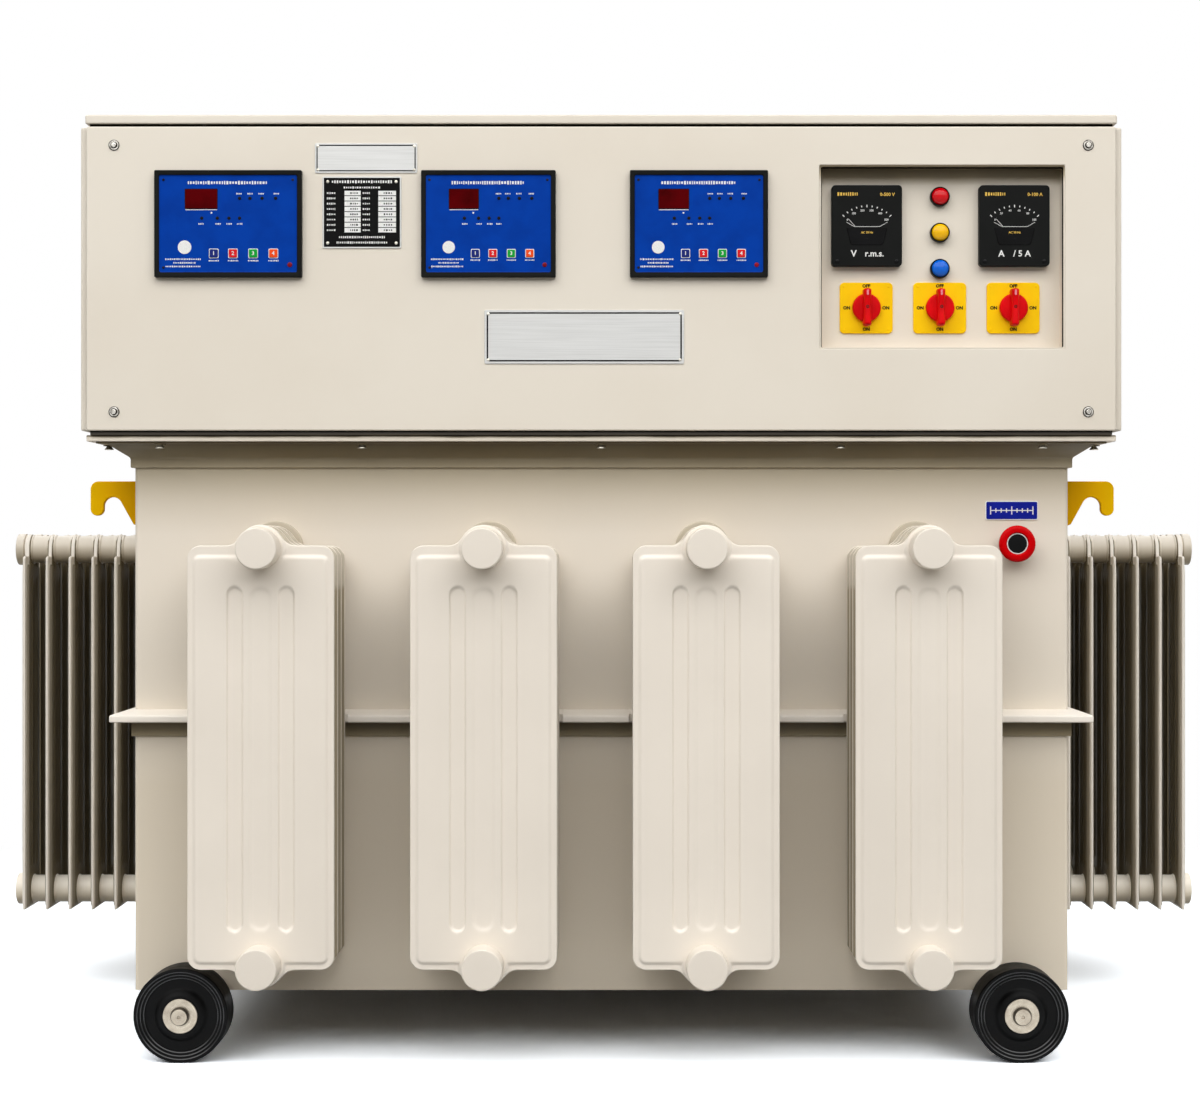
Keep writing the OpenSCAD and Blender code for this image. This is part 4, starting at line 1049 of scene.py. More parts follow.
def buildPressings():
    # base pan and lid: round rectangles stacked from one rounded edge to the other
    s = cabinetShape
    for node, name, edge, paint in (("cabinet_base_pan", "base_pan_pressing", s["panEdge"], panPaint),
                                    ("cabinet_lid", "lid_pressing", s["lidEdge"], cabinetPaint)):
        low, high = boxOf(node)
        w, d, h = high - low
        upper = roundedEdge(w, d, s["pressingCorner"] * mm, h / 2, h, edge * mm)
        lower = [(*ring[:3], h - ring[3]) for ring in reversed(upper[1:])]
        part = slab(facing("top", low[2]), (low[0] + high[0]) / 2, (low[1] + high[1]) / 2,
                    lower + upper[1:])
        addPiece(name, [part], paint, "cabinet_paint", replaces=[node])


def buildPanels():
    # a front sheet with the tray's opening, its edge turned in by a quarter circle; plain sheets
    # on the back and sides
    s = cabinetShape
    edge, corner, hole, bend = [s[key] * mm for key in ("panelEdge", "corner", "openingEdge",
                                                        "openingRadius")]
    trayLow, trayHigh = boxOf("instrument_tray")
    low, high = boxOf("cabinet_front_panel")
    w, t, h = high - low
    x, z = middleOf(low, high)
    trayX, trayZ = middleOf(trayLow, trayHigh)
    shift = (trayX - x, trayZ - z)
    openW, _, openH = trayHigh - trayLow + s["openingGap"] * mm
    outer = roundedEdge(w, h, corner, 0, t, edge)
    opening = [(openW + 2 * hole * (1 - math.sin(a)), openH + 2 * hole * (1 - math.sin(a)), bend,
                t - hole * (1 - math.cos(a)), *shift) for a in np.linspace(0, np.pi / 2, 5)]
    rings = [*outer, *opening, (openW, openH, bend, 0, *shift), outer[0]]
    panel = slab(facing("front", high[1]), x, z, rings, False, False)
    addPiece("front_panel_sheet", [panel], cabinetPaint, "cabinet_paint",
             replaces=["cabinet_front_panel"])
    low, high = boxOf("cabinet_back_panel")
    w, t, h = high - low
    panel = plateOn(facing("back", low[1]), 0, (low[2] + high[2]) / 2, w, h, corner, t, edge)
    addPiece("back_panel_sheet", [panel], cabinetPaint, "cabinet_paint", replaces=["cabinet_back_panel"])
    for name in ("left", "right"):
        low, high = boxOf(f"cabinet_{name}_cover")
        t, w, h = high - low
        inner = high[0] if name == "left" else low[0]
        cover = plateOn(facing(name, inner), 0, (low[2] + high[2]) / 2, w, h, corner, t,
                        s["coverEdge"] * mm)
        addPiece(f"{name}_side_cover_sheet", [cover], cabinetPaint, "cabinet_paint",
                 replaces=[f"cabinet_{name}_cover"])


trayShape = {"sheet": 2, "corner": 2, "lip": 0.8, "edging": 2.2, "edgingDepth": 6, "edgingSink": 0.9,
             "edgingDrop": 1.1}


def buildTray():
    # the instrument recess: a pan of thin sheet, its floor joined to its walls by a narrow slope
    s = trayShape
    low, high = boxOf("instrument_tray")
    w, depth, h = high - low
    x, z = middleOf(low, high)
    put = facing("front", high[1])
    corner, sheet, mouth = s["corner"] * mm, s["sheet"] * mm, depth - s["lip"] * mm
    innerW, innerH = w - 2 * sheet, h - 2 * sheet
    rings = [(w, h, corner, 0), (w, h, corner, mouth)]
    rings += [(innerW - cut * mm, innerH - cut * mm, corner, out) for cut, out in
              ((0, mouth), (0, sheet + 1.5 * mm), (1, sheet + 0.4 * mm), (3, sheet))]
    tray = slab(put, x, z, rings)
    # a black edging, painted shade, lines the mouth of the recess; its lower run is let into the sheet
    thick, deep, sunk = s["edging"], s["edgingDepth"], s["edgingSink"]
    rings = [(innerW - grow * mm, innerH - grow * mm, corner, depth - out * mm, 0, -s["edgingDrop"] * mm)
             for grow, out in ((0, deep), (0, sunk), (thick, sunk), (thick, deep), (0, deep))]
    addPiece("recess_shade_edging", [slab(put, x, z, rings, False, False)], shadeFoam, "wheel_black")
    # the recess's paint holds painted shade under its top wall
    addPiece("instrument_tray_pressing", [tray], trayPaint, "cabinet_paint",
             replaces=["instrument_tray"])


slotShadeShape = {"overhang": 1.2, "wall": 5, "corner": 2, "lowDepth": 2.2, "fit": 0.2}


def buildGaskets():
    # black foam strips fill the slots under the lid and over the base pan as painted shade
    s = slotShadeShape
    housingHigh = boxOf("cabinet_housing")[1]
    panelLow, panelHigh = boxOf("cabinet_front_panel")
    w, d = housingHigh[:2] * 2 + s["overhang"] * mm
    fit = s["fit"] * mm
    parts = []
    for low, high in ((panelLow[2] - s["lowDepth"] * mm, panelLow[2] - fit),
                      (panelHigh[2] + fit, housingHigh[2] - fit / 2)):
        rings = frameRings(w, d, s["corner"] * mm, s["wall"] * mm, low, high)
        parts.append(slab(facing("top", 0), 0, 0, [*rings, rings[0]], False, False))
    addPiece("cabinet_slot_shade", parts, shadeFoam, "wheel_black")


screwShape = {"head": 3.5, "height": 5, "washer": 6.8, "washerThickness": 1.5, "greaseAndShade": 4.8,
              "greaseAndShadeRise": 0.3, "shadeWasher": 7.8, "shadeWasherThickness": 1, "inset": 40, "drop": 27}


def buildCoverScrews():
    # cheese head screws on steel washers, four to each panel; black rings under each washer and
    # round each head are painted shade
    s = screwShape
    low, high = boxOf("cover_screws")
    panelLow, panelHigh = boxOf("cabinet_front_panel")
    coverHigh = boxOf("cabinet_right_cover")[1]
    thick, ring, rise = s["washerThickness"], s["shadeWasherThickness"], s["washerThickness"] + s["greaseAndShadeRise"]
    washer = button(s["washer"], 0, thick, 0.5, thick)
    shadeWasher = button(s["shadeWasher"], 0, ring, 0.4, ring)
    greaseAndShade = button(s["greaseAndShade"], ring, rise, 0.2, rise)
    head = button(s["head"], 0, s["height"], 0.9, s["height"], 5)
    foot = s["height"] * mm
    middle, reach = (panelLow[2] + panelHigh[2]) / 2, (panelHigh[2] - panelLow[2]) / 2 - s["drop"] * mm
    parts, black = [], []
    for up in (-1, 1):
        z = middle + up * reach
        for sideways in (-1, 1):
            x = sideways * (panelHigh[0] - s["inset"] * mm)
            y = sideways * (coverHigh[1] - s["inset"] * mm)
            for centre, out in (((x, low[1] + foot, z), (0, -1, 0)), ((x, high[1] - foot, z), (0, 1, 0)),
                                ((low[0] + foot, y, z), (-1, 0, 0)), ((high[0] - foot, y, z), (1, 0, 0))):
                parts += [turned(washer, centre, out, 32), turned(head, centre, out, 32)]
                black += [turned(shadeWasher, centre, out, 32), turned(greaseAndShade, centre, out, 32)]
    addPiece("cover_screws_and_washers", parts, nickelPlate, "chrome_screw", replaces=["cover_screws"])
    addPiece("cover_screw_shade_rings", black, shadeFoam, "wheel_black")


# controllers

controllerShape = {
    "bezel": 7, "recess": 2.6, "rounding": 1.2, "turnUp": 1.8, "corner": 1.8, "window": 3,
    # places on the face as shares of its width and height, from the left and from the top
    "title": (0.495, 0.117, 0.535, 0.034, 30), "display": (0.3175, 0.2685, 0.215, 0.179),
    "upperLamps": (0.262, [0.578, 0.648, 0.730, 0.822]),
    "lowerLamps": (0.448, [0.322, 0.427, 0.506, 0.578]),
    "disc": (0.205, 0.720, 0.046), "keys": (0.778, [0.403, 0.533, 0.670, 0.807], 0.060),
    "redLamp": (0.918, 0.884, 0.017), "screws": ((0.062, 0.09), (0.938, 0.09), (0.062, 0.91)),
    "footnotes": [(0.194, 0.832, 0.24), (0.204, 0.866, 0.15), (0.194, 0.9, 0.235)],
    "lamp": 2.4, "label": (7.5, 2.4), "footnote": 2.6, "screw": 1.9,
    "keyGap": 0.4, "keyRim": 0.6, "keyHeight": 1.4, "keyCorner": 1.3,
}


def buildController(node, keyOrder, seed):
    # a bezel round a sunk overlay; lamps, keys and printing stand on the overlay by shares of the face
    c = controllerShape
    low, high = boxOf(node)
    w, h = high[0] - low[0], high[2] - low[2]
    plane, reach = high[1], high[1] - low[1]
    put, at = facing("front", plane), sharesOf(low, high)
    x, z = middleOf(low, high)
    bezel, r, window = c["bezel"] * mm, c["rounding"] * mm, c["window"] * mm
    face = reach - c["recess"] * mm
    innerW, innerH = w - 2 * bezel, h - 2 * bezel
    rings = roundedEdge(w, h, c["corner"] * mm, 0, reach, r)
    rings += [(innerW + grow * r, innerH + grow * r, window, reach - sink * r)
              for grow, sink in ((2, 0), (0.6, 0.5), (0, 1.4))]
    rings += [(innerW, innerH, window, face - 1 * mm)]
    addPiece(node + "_bezel", [slab(put, x, z, rings)], blackPlastic, "meter_black", replaces=[node])
    lip = [(innerW - grow * mm, innerH - grow * mm, 1 * mm, face + out * mm) for grow, out in
           ((0.2, 0), (-1.8, 1.9), (-1.8, 0), (0.2, -0.5), (0.2, 0))]
    addPiece(node + "_bezel_lip", [slab(put, x, z, lip, False, False)], polishedEnamel, "meter_black")
    wide, tall, turnUp = innerW - 0.2 * mm, innerH - 0.2 * mm, c["turnUp"] * mm
    overlay = slab(put, x, z, [(wide, tall, 1 * mm, face - 1.2 * mm),
                               (wide, tall, 1 * mm, face + 0.6 * turnUp),
                               (wide - 2 * turnUp, tall - 2 * turnUp, 1 * mm, face)])
    addPiece(node + "_overlay", [overlay], bluePanel, "controller_blue")
    white, dark, ink, front = [], [], inkOn(face), plane - face
    u, v, wide, tall, marks = c["title"]
    white.append(smallPrint(put, *at(u, v), wide * w, tall * h, marks, seed, *ink))
    u, v, wide, tall = c["display"]
    glass = plateOn(put, *at(u, v), wide * w, tall * h, 1 * mm, 0.9 * mm, 0.3 * mm, face - 0.2 * mm)
    addPiece(node + "_display", [glass], displayGlass, "controller_blue")
    border = [(wide * w + grow * mm, tall * h + grow * mm, corner * mm, face + out * mm)
              for grow, corner, out in ((2, 1.5, -0.2), (2, 1.5, 0.3), (-0.4, 1, 0.3))]
    dark.append(slab(put, *at(u, v), border, True, False))
    # under the display a line and a dot
    white.append(blocks(put, *at(u, v + tall / 2 + 0.012), wide * w, 0.9 * mm, *ink))
    white.append(blocks(put, *at(u + 0.07, v + 0.13), 2.2 * mm, 2.2 * mm, *ink))
    lamp = button(c["lamp"], -0.2, 0.8, 0.8, 1.3)
    labelW, labelH = [size * mm for size in c["label"]]
    random = np.random.default_rng(seed)
    for v, places in (c["upperLamps"], c["lowerLamps"]):
        # the upper row is named above its lamps, the lower row below
        label = v - 0.042 if v < 0.4 else v + 0.054
        for u in places:
            dark.append(onFront(lamp, at(u, v), front, 16))
            white.append(smallPrint(put, *at(u + random.uniform(-0.006, 0.006), label), labelW, labelH,
                                    4, int(random.integers(1000)), *ink))
    for u, v, wide in c["footnotes"]:
        white.append(smallPrint(put, *at(u, v), wide * w, c["footnote"] * mm, int(wide * 90),
                                int(random.integers(1000)), *ink))
    # a plain white disc with a raised rim
    u, v, r = c["disc"]
    white.append(onFront(button(r * w / mm, -0.1, 0.35, 0.2, 0.35), at(u, v), front, 40))
    v, places, share = c["keys"]
    size = share * w
    rim, cap, corner = size + 2 * c["keyRim"] * mm, size - 2 * c["keyGap"] * mm, c["keyCorner"] * mm
    top = face + c["keyHeight"] * mm
    for number, (u, colour) in enumerate(zip(places, keyOrder), 1):
        across, up = at(u, v)
        white.append(plateOn(put, across, up, rim, rim, 1.6 * mm, 0.5 * mm, 0.1 * mm, face - 0.2 * mm))
        key = slab(put, across, up, roundedEdge(cap, cap, corner, face, top, 0.8 * mm))
        addPiece(f"{node}_key_{number}", [key], keyCaps[colour], "controller_blue")
        white.append(lettering(put, str(number), across, up, size * 0.62, *inkOn(top), 0.02))
        white.append(smallPrint(put, across, up - size * 0.82, size * 1.15, 2.2 * mm, 7,
                                int(random.integers(1000)), *ink))
    u, v, r = c["redLamp"]
    bulb = onFront(button(r * w / mm, -0.2, 1, 1, 2), at(u, v), front, 24)
    addPiece(node + "_indicator", [bulb], indicatorRed, "controller_blue")
    screw = socketScrew(c["screw"], -0.2, 0.5, 0.4, 0.7, 0.8, 0.2)
    screws = [onFront(screw, at(u, v), front, 20) for u, v in c["screws"]]
    addPiece(node + "_corner_screws", screws, socketSteel, "dark_steel")
    addPiece(node + "_white_print", white, whiteInk, "controller_blue")
    addPiece(node + "_lamps_and_frame", dark, blackPlastic, "meter_black")


# plates

plateShape = {
    # width, height and the inset of the rivets from the corner
    "small": (146.5, 42.5, 4.2), "rating": (113, 103, 7.5), "large": (286, 77, 5.6),
    # gap outside the printed line, width of the line and radius of its corners
    "smallLine": (2.2, 1.7, 1), "largeLine": (3.2, 2.2, 4),
    "corner": 2, "edge": 0.5, "rivet": 2.2, "ratingDrop": 42, "smallShift": 6, "largeShift": 137,
    # rows of the rating plate by shares of its height, columns by shares of its width
    "firstRow": 0.232, "rowPitch": 0.0737, "rows": 8, "cell": 0.063,
    "cells": ((-0.1175, 0.205), (0.32, 0.224)),
    "headings": ((0.075, 0.76, 0.044, 24), (0.155, 0.46, 0.03, 16), (0.845, 0.58, 0.034, 22),
                 (0.92, 0.64, 0.034, 25)),
}


def buildPlates():
    # riveted bare name plates with a printed border line, and a rating plate with blank cells
    s = plateShape
    low, high = boxOf("panel_plates")
    plane, t = high[1], high[1] - low[1]
    put = facing("front", plane)
    leftLow, leftHigh = boxOf("controller_left")
    middleLow, middleHigh = boxOf("controller_middle")
    between = (leftHigh[0] + middleLow[0]) / 2
    centres = {
        "small": (between + s["smallShift"] * mm, high[2] - s["small"][1] / 2 * mm),
        "rating": (between, leftLow[2] + (s["ratingDrop"] + s["rating"][1] / 2) * mm),
        "large": ((middleLow[0] + middleHigh[0]) / 2 + s["largeShift"] * mm,
                  low[2] + s["large"][1] / 2 * mm)}
    metal, lines, cells, rivets = [], [], [], []
    for name in ("small", "large"):
        x, z = centres[name]
        w, h = [size * mm for size in s[name][:2]]
        gap, line, r = [size * mm for size in s[name + "Line"]]
        metal.append(plateOn(put, x, z, w, h, s["corner"] * mm, t, s["edge"] * mm))
        rings = frameRings(w - 2 * gap, h - 2 * gap, r, line, t - 0.2 * mm, t + 0.1 * mm)
        lines.append(slab(put, x, z, rings, False, False))
    x, z = centres["rating"]
    w, h = [size * mm for size in s["rating"][:2]]
    metal.append(plateOn(put, x, z, w, h, s["corner"] * mm, t, s["edge"] * mm))
    lines.append(plateOn(put, x, z, w - 4 * mm, h - 4 * mm, 1 * mm, 0.2 * mm, 0.1 * mm, t - 0.1 * mm))
    rivet = button(s["rivet"], -0.2, 0.4, 0.5, 1.3)
    for name in ("small", "rating", "large"):
        inX, inZ = [(size / 2 - s[name][2]) * mm for size in s[name][:2]]
        for sideX in (-1, 1):
            for sideZ in (-1, 1):
                place = centres[name][0] + sideX * inX, centres[name][1] + sideZ * inZ
                rivets.append(onFront(rivet, place, plane - t, 20))
    # white cells in two columns, and marks too small to read beside and inside each
    rows = z + h / 2 - (s["firstRow"] + np.arange(s["rows"]) * s["rowPitch"]) * h
    onBlack, onWhite = t + 0.2 * mm, t + 0.3 * mm
    for column, wide in s["cells"]:
        cells.append(blocks(put, x + column * w, rows, wide * w, s["cell"] * h, t, onBlack))
    for i, up in enumerate(rows):
        for batch, column, wide, tall, marks, seed, top in (
                (cells, -0.39, 12, 2.8, 5, 60, onBlack), (cells, 0.055, 10, 2.8, 4, 90, onBlack),
                (lines, -0.1, 11, 2.6, 4, 120, onWhite), (lines, 0.33, 12, 2.6, 4, 150, onWhite)):
            batch.append(smallPrint(put, x + column * w, up, wide * mm, tall * mm, marks, seed + i, t, top))
    for v, wide, tall, marks in s["headings"]:
        cells.append(smallPrint(put, x, z + h / 2 - v * h, wide * w, tall * h, marks, marks, t, onBlack))
    addPiece("name_and_rating_plates", metal, plateAluminium, "plate_silver", replaces=["panel_plates"])
    addPiece("plate_black_print", lines, blackInk, "plate_silver")
    addPiece("rating_plate_cells", cells, whiteInk, "plate_silver")
    addPiece("plate_rivets", rivets, zincPlate, "zinc")


# instruments

meterShape = {
    "rounding": 1.6, "radius": 5.6, "dial": 49.6, "dialDrop": 0.669, "sweep": 45, "ticks": 10,
    "tick": 2.4, "longTick": 3.6, "tickWidth": 1.2, "number": 4.1, "unit": 13, "kind": 12.5,
    "rating": 4.2, "range": 6.6, "screw": 3.2, "adjuster": 1.6,
    # the line under the scale, by shares: half width, drop, rise at its ends, where it turns up
    "line": (0.29, 0.513, 0.055, 0.62),
    # the pivot cover: half width and height of its top, of its foot; then its middle's height
    "cover": (0.29, 0.53, 0.23, 0.74), "coverMiddle": 0.63,
    # places on the face as shares of its width and height, from the left and from the top
    "ratingAt": (0.5, 0.586), "rangeAt": (0.79, 0.118), "printAt": (0.225, 0.112),
    "unitAt": (0.313, 0.847), "kindAt": (0.605, 0.847), "adjusterAt": (0.5, 0.665),
    "screwsAt": ((0.08, 0.94), (0.92, 0.94)),
}


def buildMeter(node, unit, scale, top):
    # black instrument: arched scale printed on the cover, a dark pivot cover, two screws below
    s = meterShape
    low, high = boxOf(node)
    w, h, reach = high[0] - low[0], high[2] - low[2], high[1] - low[1]
    plane = high[1]
    put, at = facing("front", plane), sharesOf(low, high)
    x, z = middleOf(low, high)
    case = slab(put, x, z, roundedEdge(w, h, s["radius"] * mm, 0, reach, s["rounding"] * mm))
    addPiece(node + "_case", [case], blackPlastic, "meter_black", replaces=[node])
    ink, front = inkOn(reach)
    centreX, centreZ = at(0.5, s["dialDrop"])
    white, amber = [], []

    def mark(a, radius, length, width):
        # one block at a radius, turned by a: x = across cos a + up sin a, z = up cos a - across sin a
        points, faces = blocks(lambda p, q, o: np.stack(np.broadcast_arrays(p, q, o), -1), 0, radius,
                               width, length, ink, front)
        px = points[:, 0] * math.cos(a) + points[:, 1] * math.sin(a)
        pz = -points[:, 0] * math.sin(a) + points[:, 1] * math.cos(a)
        return put(centreX + px, centreZ + pz, points[:, 2]), faces

    dial, last = s["dial"] * mm, s["ticks"]
    for i in range(last + 1):
        a = math.radians(lerp(-s["sweep"], s["sweep"], i / last))
        length = s["longTick"] if i % 5 == 0 else s["tick"]
        white.append(mark(a, dial - s["longTick"] / 2 * mm, length * mm, s["tickWidth"] * mm))
        if i % 2 == 0:
            number, spot = str(int(scale * i / last)), dial - (7.8 if 0 < i < last else 9.8) * mm
            white.append(lettering(put, number, centreX + spot * math.sin(a), centreZ + spot * math.cos(a),
                                   s["number"] * mm, ink, front, 0.01))
    # the lower edge of the scale window: a straight run that turns up at both ends
    halfLine, drop, rise, bend = s["line"]
    share = np.linspace(-1, 1, 25)
    lineX = centreX + share * halfLine * w
    lineZ = at(0.5, drop)[1] + np.clip((np.abs(share) - bend) / (1 - bend), 0, 1) * rise * h
    half = 0.3 * mm
    grid = np.stack([put(lineX, lineZ + dz, o) for dz, o in
                     ((-half, ink), (-half, front), (half, front), (half, ink), (-half, ink))])
    white.append(gridPart(grid))
    # a low trapezium hides the pivot: its outline shrinks towards its raised face
    wide, upper, narrow, lower = s["cover"]
    outline = softened([(-wide, upper, 0), (wide, upper, 0.02), (narrow, lower, 0.04),
                        (-narrow, lower, 0.04), (-wide, upper, 0.02), (0.01 - wide, upper, 0)], 3)
    middle = np.array([0, s["coverMiddle"]])
    boss = np.stack([put(*at(0.5 + ring[:, 0], ring[:, 1]), o) for ring, o in
                     ((outline, ink), (middle + (outline - middle) * 0.97, reach + 0.9 * mm))])
    # the needle at rest beside zero
    white.append(mark(math.radians(-s["sweep"]) + 0.05, dial - 17 * mm, 14 * mm, 0.6 * mm))
    addPiece(node + "_pivot_cover", [gridPart(boss, False, False, True)], meterGlass, "meter_black")
    amber.append(lettering(put, "AC 50 Hz", *at(*s["ratingAt"]), s["rating"] * mm, reach + 0.8 * mm,
                           reach + 1.2 * mm, 0.02))
    amber.append(lettering(put, top, *at(*s["rangeAt"]), s["range"] * mm, ink, front, 0.02))
    amber.append(smallPrint(put, *at(*s["printAt"]), 29 * mm, 5.2 * mm, 9, 5, ink, front))
    white.append(lettering(put, unit, *at(*s["unitAt"]), s["unit"] * mm, ink, front, 0.02))
    kind = "r.m.s." if unit == "V" else "/ 5 A"
    white.append(lettering(put, kind, *at(*s["kindAt"]), s["kind"] * mm, ink, front, 0.02))
    screw = socketScrew(s["screw"], -0.3, 0.7, 0.6, 1.1, 1.3, 0.5)
    screws = [onFront(screw, at(*place), plane - reach, 24) for place in s["screwsAt"]]
    adjuster = button(s["adjuster"], -0.3, 1.2, 0.5, 1.6)
    screws.append(onFront(adjuster, at(*s["adjusterAt"]), plane - reach, 20))
    addPiece(node + "_screws", screws, meterGlass, "meter_black")
    addPiece(node + "_scale_print", white, whiteInk, "meter_black")
    addPiece(node + "_amber_print", amber, amberInk, "meter_black")


lampShape = {"bezel": 14.2, "lens": 12.2, "bezelHeight": 9, "dome": 14.6}


def buildLamps():
    # three pilot lamps: a bezel ring and a dome, an ellipse turned round the lamp's axis
    s = lampShape
    low, high = boxOf("pilot_lamps")
    x, plane, r = (low[0] + high[0]) / 2, high[1], s["bezel"] * mm
    places = np.linspace(high[2] - r, low[2] + r, 3)
    lens, top = s["lens"], s["bezelHeight"]
    ring = softened([(lens - 1, 0, 0), (s["bezel"], 0, 0), (s["bezel"], top - 2, 2.5),
                     (lens + 1, top + 1.2, 1), (lens, top - 0.5, 0.4), (lens - 1, top - 2, 0),
                     (lens - 1, 0, 0)], 4)
    rise = s["dome"] - top + 1
    dome = [(0, 1), (lens, 1)] + [(lens * math.cos(a), top - 1 + rise * math.sin(a))
                                  for a in np.linspace(0, np.pi / 2, 12)]
    bezels = []
    for name, material, z in zip(("red", "amber", "blue"), (redLens, yellowLens, blueLens), places):
        bezels.append(onFront(ring, (x, z), plane, 48))
        addPiece(f"pilot_lamp_{name}_lens", [onFront(dome, (x, z), plane, 48)], material,
                 "meter_black", sharp=60)
    addPiece("pilot_lamp_bezels", bezels, blackPlastic, "meter_black", replaces=["pilot_lamps"])


switchShape = {"width": 76.5, "height": 73.5, "radius": 6.5, "edge": 1.2, "word": 6.4, "stud": 1.5,
               # each word and how far it stands from the middle, as shares of the plate's size
               "words": (("OFF", 0, 0.43), ("ON", -0.37, 0), ("ON", 0.37, 0), ("ON", 0, -0.42)),
               "studAt": 0.42}


def buildSwitches():
    # three yellow plates, each with its words and a stud in every corner, and a knob on each
    s = switchShape
    low, high = boxOf("switch_plates")
    plane, t = high[1], high[1] - low[1]
    put, ink = facing("front", plane), inkOn(t)
    w, h = s["width"] * mm, s["height"] * mm
    z = (low[2] + high[2]) / 2
    places = np.linspace(low[0] + w / 2, high[0] - w / 2, 3)
    stud, far = button(s["stud"], -0.2, 0.4, 0.3, 0.7), s["studAt"]
    plates, words, studs = [], [], []
    for x in places:
        plates.append(plateOn(put, x, z, w, h, s["radius"] * mm, t, s["edge"] * mm))
        words += [lettering(put, text, x + u * w, z + v * h, s["word"] * mm, *ink, 0.05)
                  for text, u, v in s["words"]]
        studs += [onFront(stud, (x + u * w, z + v * h), plane - t, 16)
                  for u in (-far, far) for v in (-far, far)]
    addPiece("switch_plate_mouldings", plates, yellowPlastic, "switch_yellow", replaces=["switch_plates"])
    addPiece("switch_plate_words", words, blackInk, "switch_yellow")
    addPiece("switch_plate_studs", studs, yellowPlastic, "switch_yellow")
    for node, x in zip(("knob_left", "knob_middle", "knob_right"), places):
        buildKnob(node, x, z, low[1])


knobShape = {"base": 20.5, "baseTop": 9, "gap": 1, "spindle": 4, "grip": (13, 55), "waist": 0.82,
             "saddle": 0.90, "blunt": 0.14, "screw": 2.3, "pointerHighlight": (3, 8, 1.4), "pointerHighlightUp": 20.5}


def buildKnob(node, x, z, plateFace):
    # a disc with a waisted grip across it, on a spindle through the plate
    s = knobShape
    reach = plateFace - boxOf(node)[0][1]
    put = facing("front", plateFace)
    base, top, gap, height = s["base"], s["baseTop"], s["gap"], reach / mm
    disc = softened([(0, gap, 0), (base, gap, 0.6), (base, top - 2.5, 1.2), (base - 1.2, top, 1.2),
                     (0, top + 0.6, 0)], 4)
    spindle = button(s["spindle"], -2.5, gap + 0.5, 0, gap + 0.5)
    gripW, gripH = s["grip"]
    along = np.linspace(-1, 1, 41)
    # the grip's cross-sections: narrower at the waist, rounded over at both ends and the top
    blunt = np.clip((np.abs(along) - 1 + s["blunt"]) / s["blunt"], 0, 1)
    end = np.sqrt(np.clip(1 - blunt ** 2, 0, 1))
    waist = gripW / 2 * (s["waist"] + (1 - s["waist"]) * along ** 2) * np.maximum(end, 0.001)
    crest = (height - top) * (s["saddle"] + (1 - s["saddle"]) * np.abs(along)) * (0.35 + 0.65 * end)
    turn = np.linspace(0, np.pi, 21)
    profileX = np.sign(np.cos(turn)) * np.abs(np.cos(turn)) ** 0.55
    profileOut = np.abs(np.sin(turn)) ** 0.45
    grip = put(x + waist[:, None] * profileX * mm, z + (along * gripH / 2)[:, None] * mm,
               (top - 3 + (crest + 3)[:, None] * profileOut) * mm)
    grid = np.concatenate([grip, grip[:, :1]], axis=1)
    parts = [onFront(disc, (x, z), plateFace, 64), onFront(spindle, (x, z), plateFace, 24),
             gridPart(grid, False, True, True)]
    addPiece(node + "_grip", parts, redPlastic, "knob_red", body=node, replaces=[node], sharp=50)
    crestTop = top + (height - top) * s["saddle"]
    screw = socketScrew(s["screw"], crestTop - 3, crestTop + 0.3, 0.4, 1.2, crestTop + 0.6, crestTop - 0.6)
    addPiece(node + "_screw", [onFront(screw, (x, z), plateFace, 24)], socketSteel, "chrome_screw",
             body=node)
    # a pale pink mark near the top of the grip: a pointer and a painted highlight
    wide, tall, r = [size * mm for size in s["pointerHighlight"]]
    pointerHighlight = slab(put, x, z + s["pointerHighlightUp"] * mm,
                   roundedEdge(wide, tall, r, reach - 4 * mm, reach + 0.02 * mm, 0.2 * mm))
    addPiece(node + "_pointer_highlight", [pointerHighlight], pinkHighlightInk, "knob_red", body=node)


buildTank()
buildFlangeNuts()
buildLugs()
buildOilGauge()
print("tank built")
buildWheels()
buildAxles()
print("wheels built")
buildRowRadiators()
buildSideRadiators()
print("radiators built")
# painted shade: the housing, seen only in the slots, takes the base pan's paint, near black above the pan
finishNode("cabinet_housing", panPaint)
buildPressings()
buildPanels()
buildTray()
buildGaskets()
buildCoverScrews()
buildController("controller_left", ("navy", "red", "green", "orange"), 11)
buildController("controller_middle", ("navy", "red", "green", "orange"), 12)
buildController("controller_right", ("navy", "red", "green", "red"), 13)
buildPlates()
buildMeter("voltmeter", "V", 500, "0-500 V")
buildMeter("ammeter", "A", 100, "0-100 A")
buildLamps()
buildSwitches()
print("cabinet and instruments built")


# floor, light and camera

studio = {"ambient": 0.06, "ambientColour": "#FFF9F0", "distance": 9, "aim": 0.7, "floorHalf": 30,
          "floorGain": (1.78, 1.86, 1.95), "floorBounce": "#807E7A", "fadeStart": 1.1, "fadeEnd": 2.2,
          "sideways": 0.75}
# each soft box: angle round from the front, angle above the floor, width and height, watts
softBoxes = {"front key": (0, 42, (12, 8), 890), "back key": (180, 44, (12, 7), 330),
             "left flank": (-90, 46, (5, 5), 60), "left front": (-56, 34, (5, 5), 165),
             "right flank": (90, 46, (5, 5), 60), "right front": (56, 34, (5, 5), 165),
             "overhead": (0, 86, (2, 2), 30)}


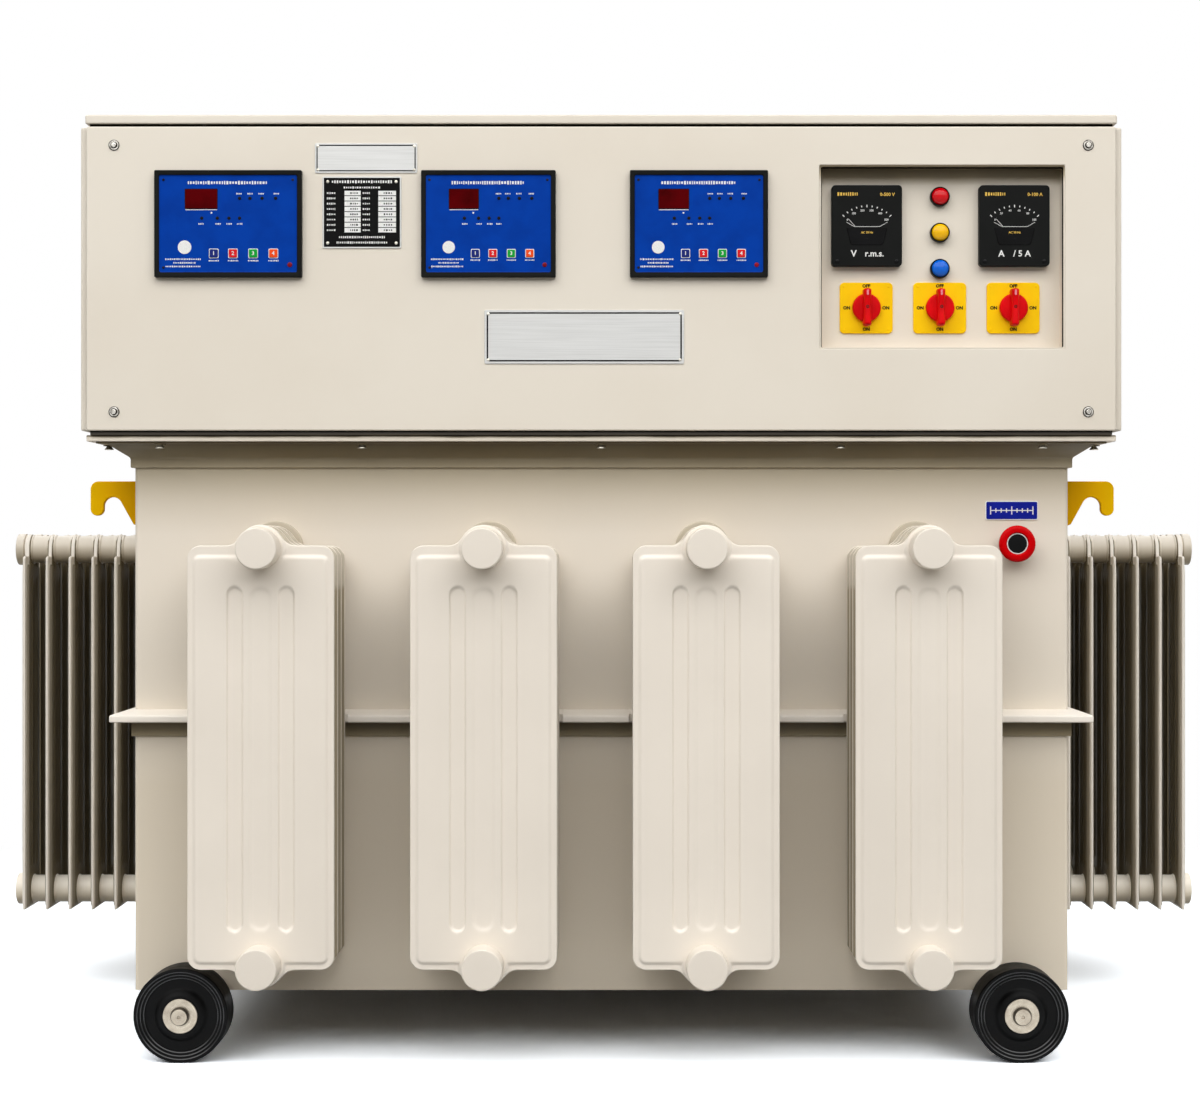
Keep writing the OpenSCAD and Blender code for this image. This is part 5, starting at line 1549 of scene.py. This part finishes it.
def cameraShare(tree):
    # 1 for what the camera sees straight, in a mirror or through glass, 0 for light on things
    path = addNode(tree, "LightPath")
    share = addNode(tree, "Math",
                    {0: path.outputs["Is Camera Ray"], 1: path.outputs["Is Glossy Ray"]},
                    operation="MAXIMUM")
    return addNode(tree, "Math", {0: share, 1: path.outputs["Is Transmission Ray"]}, operation="MAXIMUM")


def buildFloor():
    # a white floor that keeps the soft shadow near the object and fades to plain white
    floor = bpy.data.objects.new("floor", bpy.data.meshes.new("floor"))
    size = studio["floorHalf"]
    floor.data.from_pydata([(-size, -size, 0), (size, -size, 0), (size, size, 0), (-size, size, 0)], [],
                           [(0, 1, 2, 3)])
    bpy.context.scene.collection.objects.link(floor)
    material, place = openMaterial("white studio floor")
    oval = addNode(material, "Mapping", {"Vector": place, "Scale": (studio["sideways"], 1, 1)})
    distance = addNode(material, "VectorMath", {0: oval}, operation="LENGTH").outputs["Value"]
    fade = addNode(material, "MapRange",
                   {"Value": distance, "From Min": studio["fadeStart"], "From Max": studio["fadeEnd"]},
                   interpolation_type="SMOOTHSTEP")
    seen = cameraShare(material)
    amount = addNode(material, "Math", {0: seen, 1: fade}, operation="MULTIPLY")
    chalk = addNode(material, "BsdfDiffuse", {"Color": linear(studio["floorBounce"])})
    bright = addNode(material, "BsdfDiffuse", {"Color": [*studio["floorGain"], 1]})
    near = addNode(material, "MixShader", {0: seen, 1: chalk, 2: bright})
    white = addNode(material, "Emission", {"Color": (1, 1, 1, 1), "Strength": 1.0})
    mixed = addNode(material, "MixShader", {0: amount, 1: near, 2: white})
    addNode(material, "OutputMaterial", {"Surface": mixed})
    floor.data.materials.append(material)


def addLamp(name, turn, height, size, energy):
    # a soft box at the studio's distance from the aim point: out by the cosine of its height,
    # up by the sine
    lamp = bpy.data.lights.new(name, "AREA")
    lamp.shape, lamp.size, lamp.size_y, lamp.energy = "RECTANGLE", size[0], size[1], energy
    holder = bpy.data.objects.new(name, lamp)
    bpy.context.scene.collection.objects.link(holder)
    turn, height, reach = math.radians(turn), math.radians(height), studio["distance"]
    holder.location = (reach * math.cos(height) * math.sin(turn),
                       -reach * math.cos(height) * math.cos(turn),
                       studio["aim"] + reach * math.sin(height))
    holder.rotation_euler = (math.pi / 2 - height, 0, turn)


def buildStudio():
    # plain white behind the object, a dim warm light all round it, and the soft boxes
    world = bpy.data.worlds.new("studio")
    bpy.context.scene.world = world
    world.use_nodes = True
    world.node_tree.nodes.clear()
    soft = addNode(world, "Background",
                   {"Color": linear(studio["ambientColour"]), "Strength": studio["ambient"]})
    white = addNode(world, "Background", {"Color": (1, 1, 1, 1), "Strength": 1.0})
    mixed = addNode(world, "MixShader", {0: cameraShare(world), 1: soft, 2: white})
    addNode(world, "OutputWorld", {"Surface": mixed})
    for name, settings in softBoxes.items():
        addLamp(name, *settings)


# place in metres, lens and sensor in millimetres, shifts as shares of the frame's width
view = {"place": (0.027, -4.252, 0.732), "lens": 75.2, "sensor": 36,
        "shiftX": -1 / 60, "shiftY": 1 / 480}


def buildCamera():
    # level, facing the front; the shifts slide the frame without tilting the view
    camera = bpy.data.objects.new("camera", bpy.data.cameras.new("camera"))
    bpy.context.scene.collection.objects.link(camera)
    camera.location = view["place"]
    camera.rotation_euler = (math.pi / 2, 0, 0)
    camera.data.lens, camera.data.sensor_width = view["lens"], view["sensor"]
    camera.data.shift_x, camera.data.shift_y = view["shiftX"], view["shiftY"]
    bpy.context.scene.camera = camera


buildFloor()
buildStudio()
buildCamera()
bpy.context.scene.view_settings.view_transform = "Standard"
print("studio built")
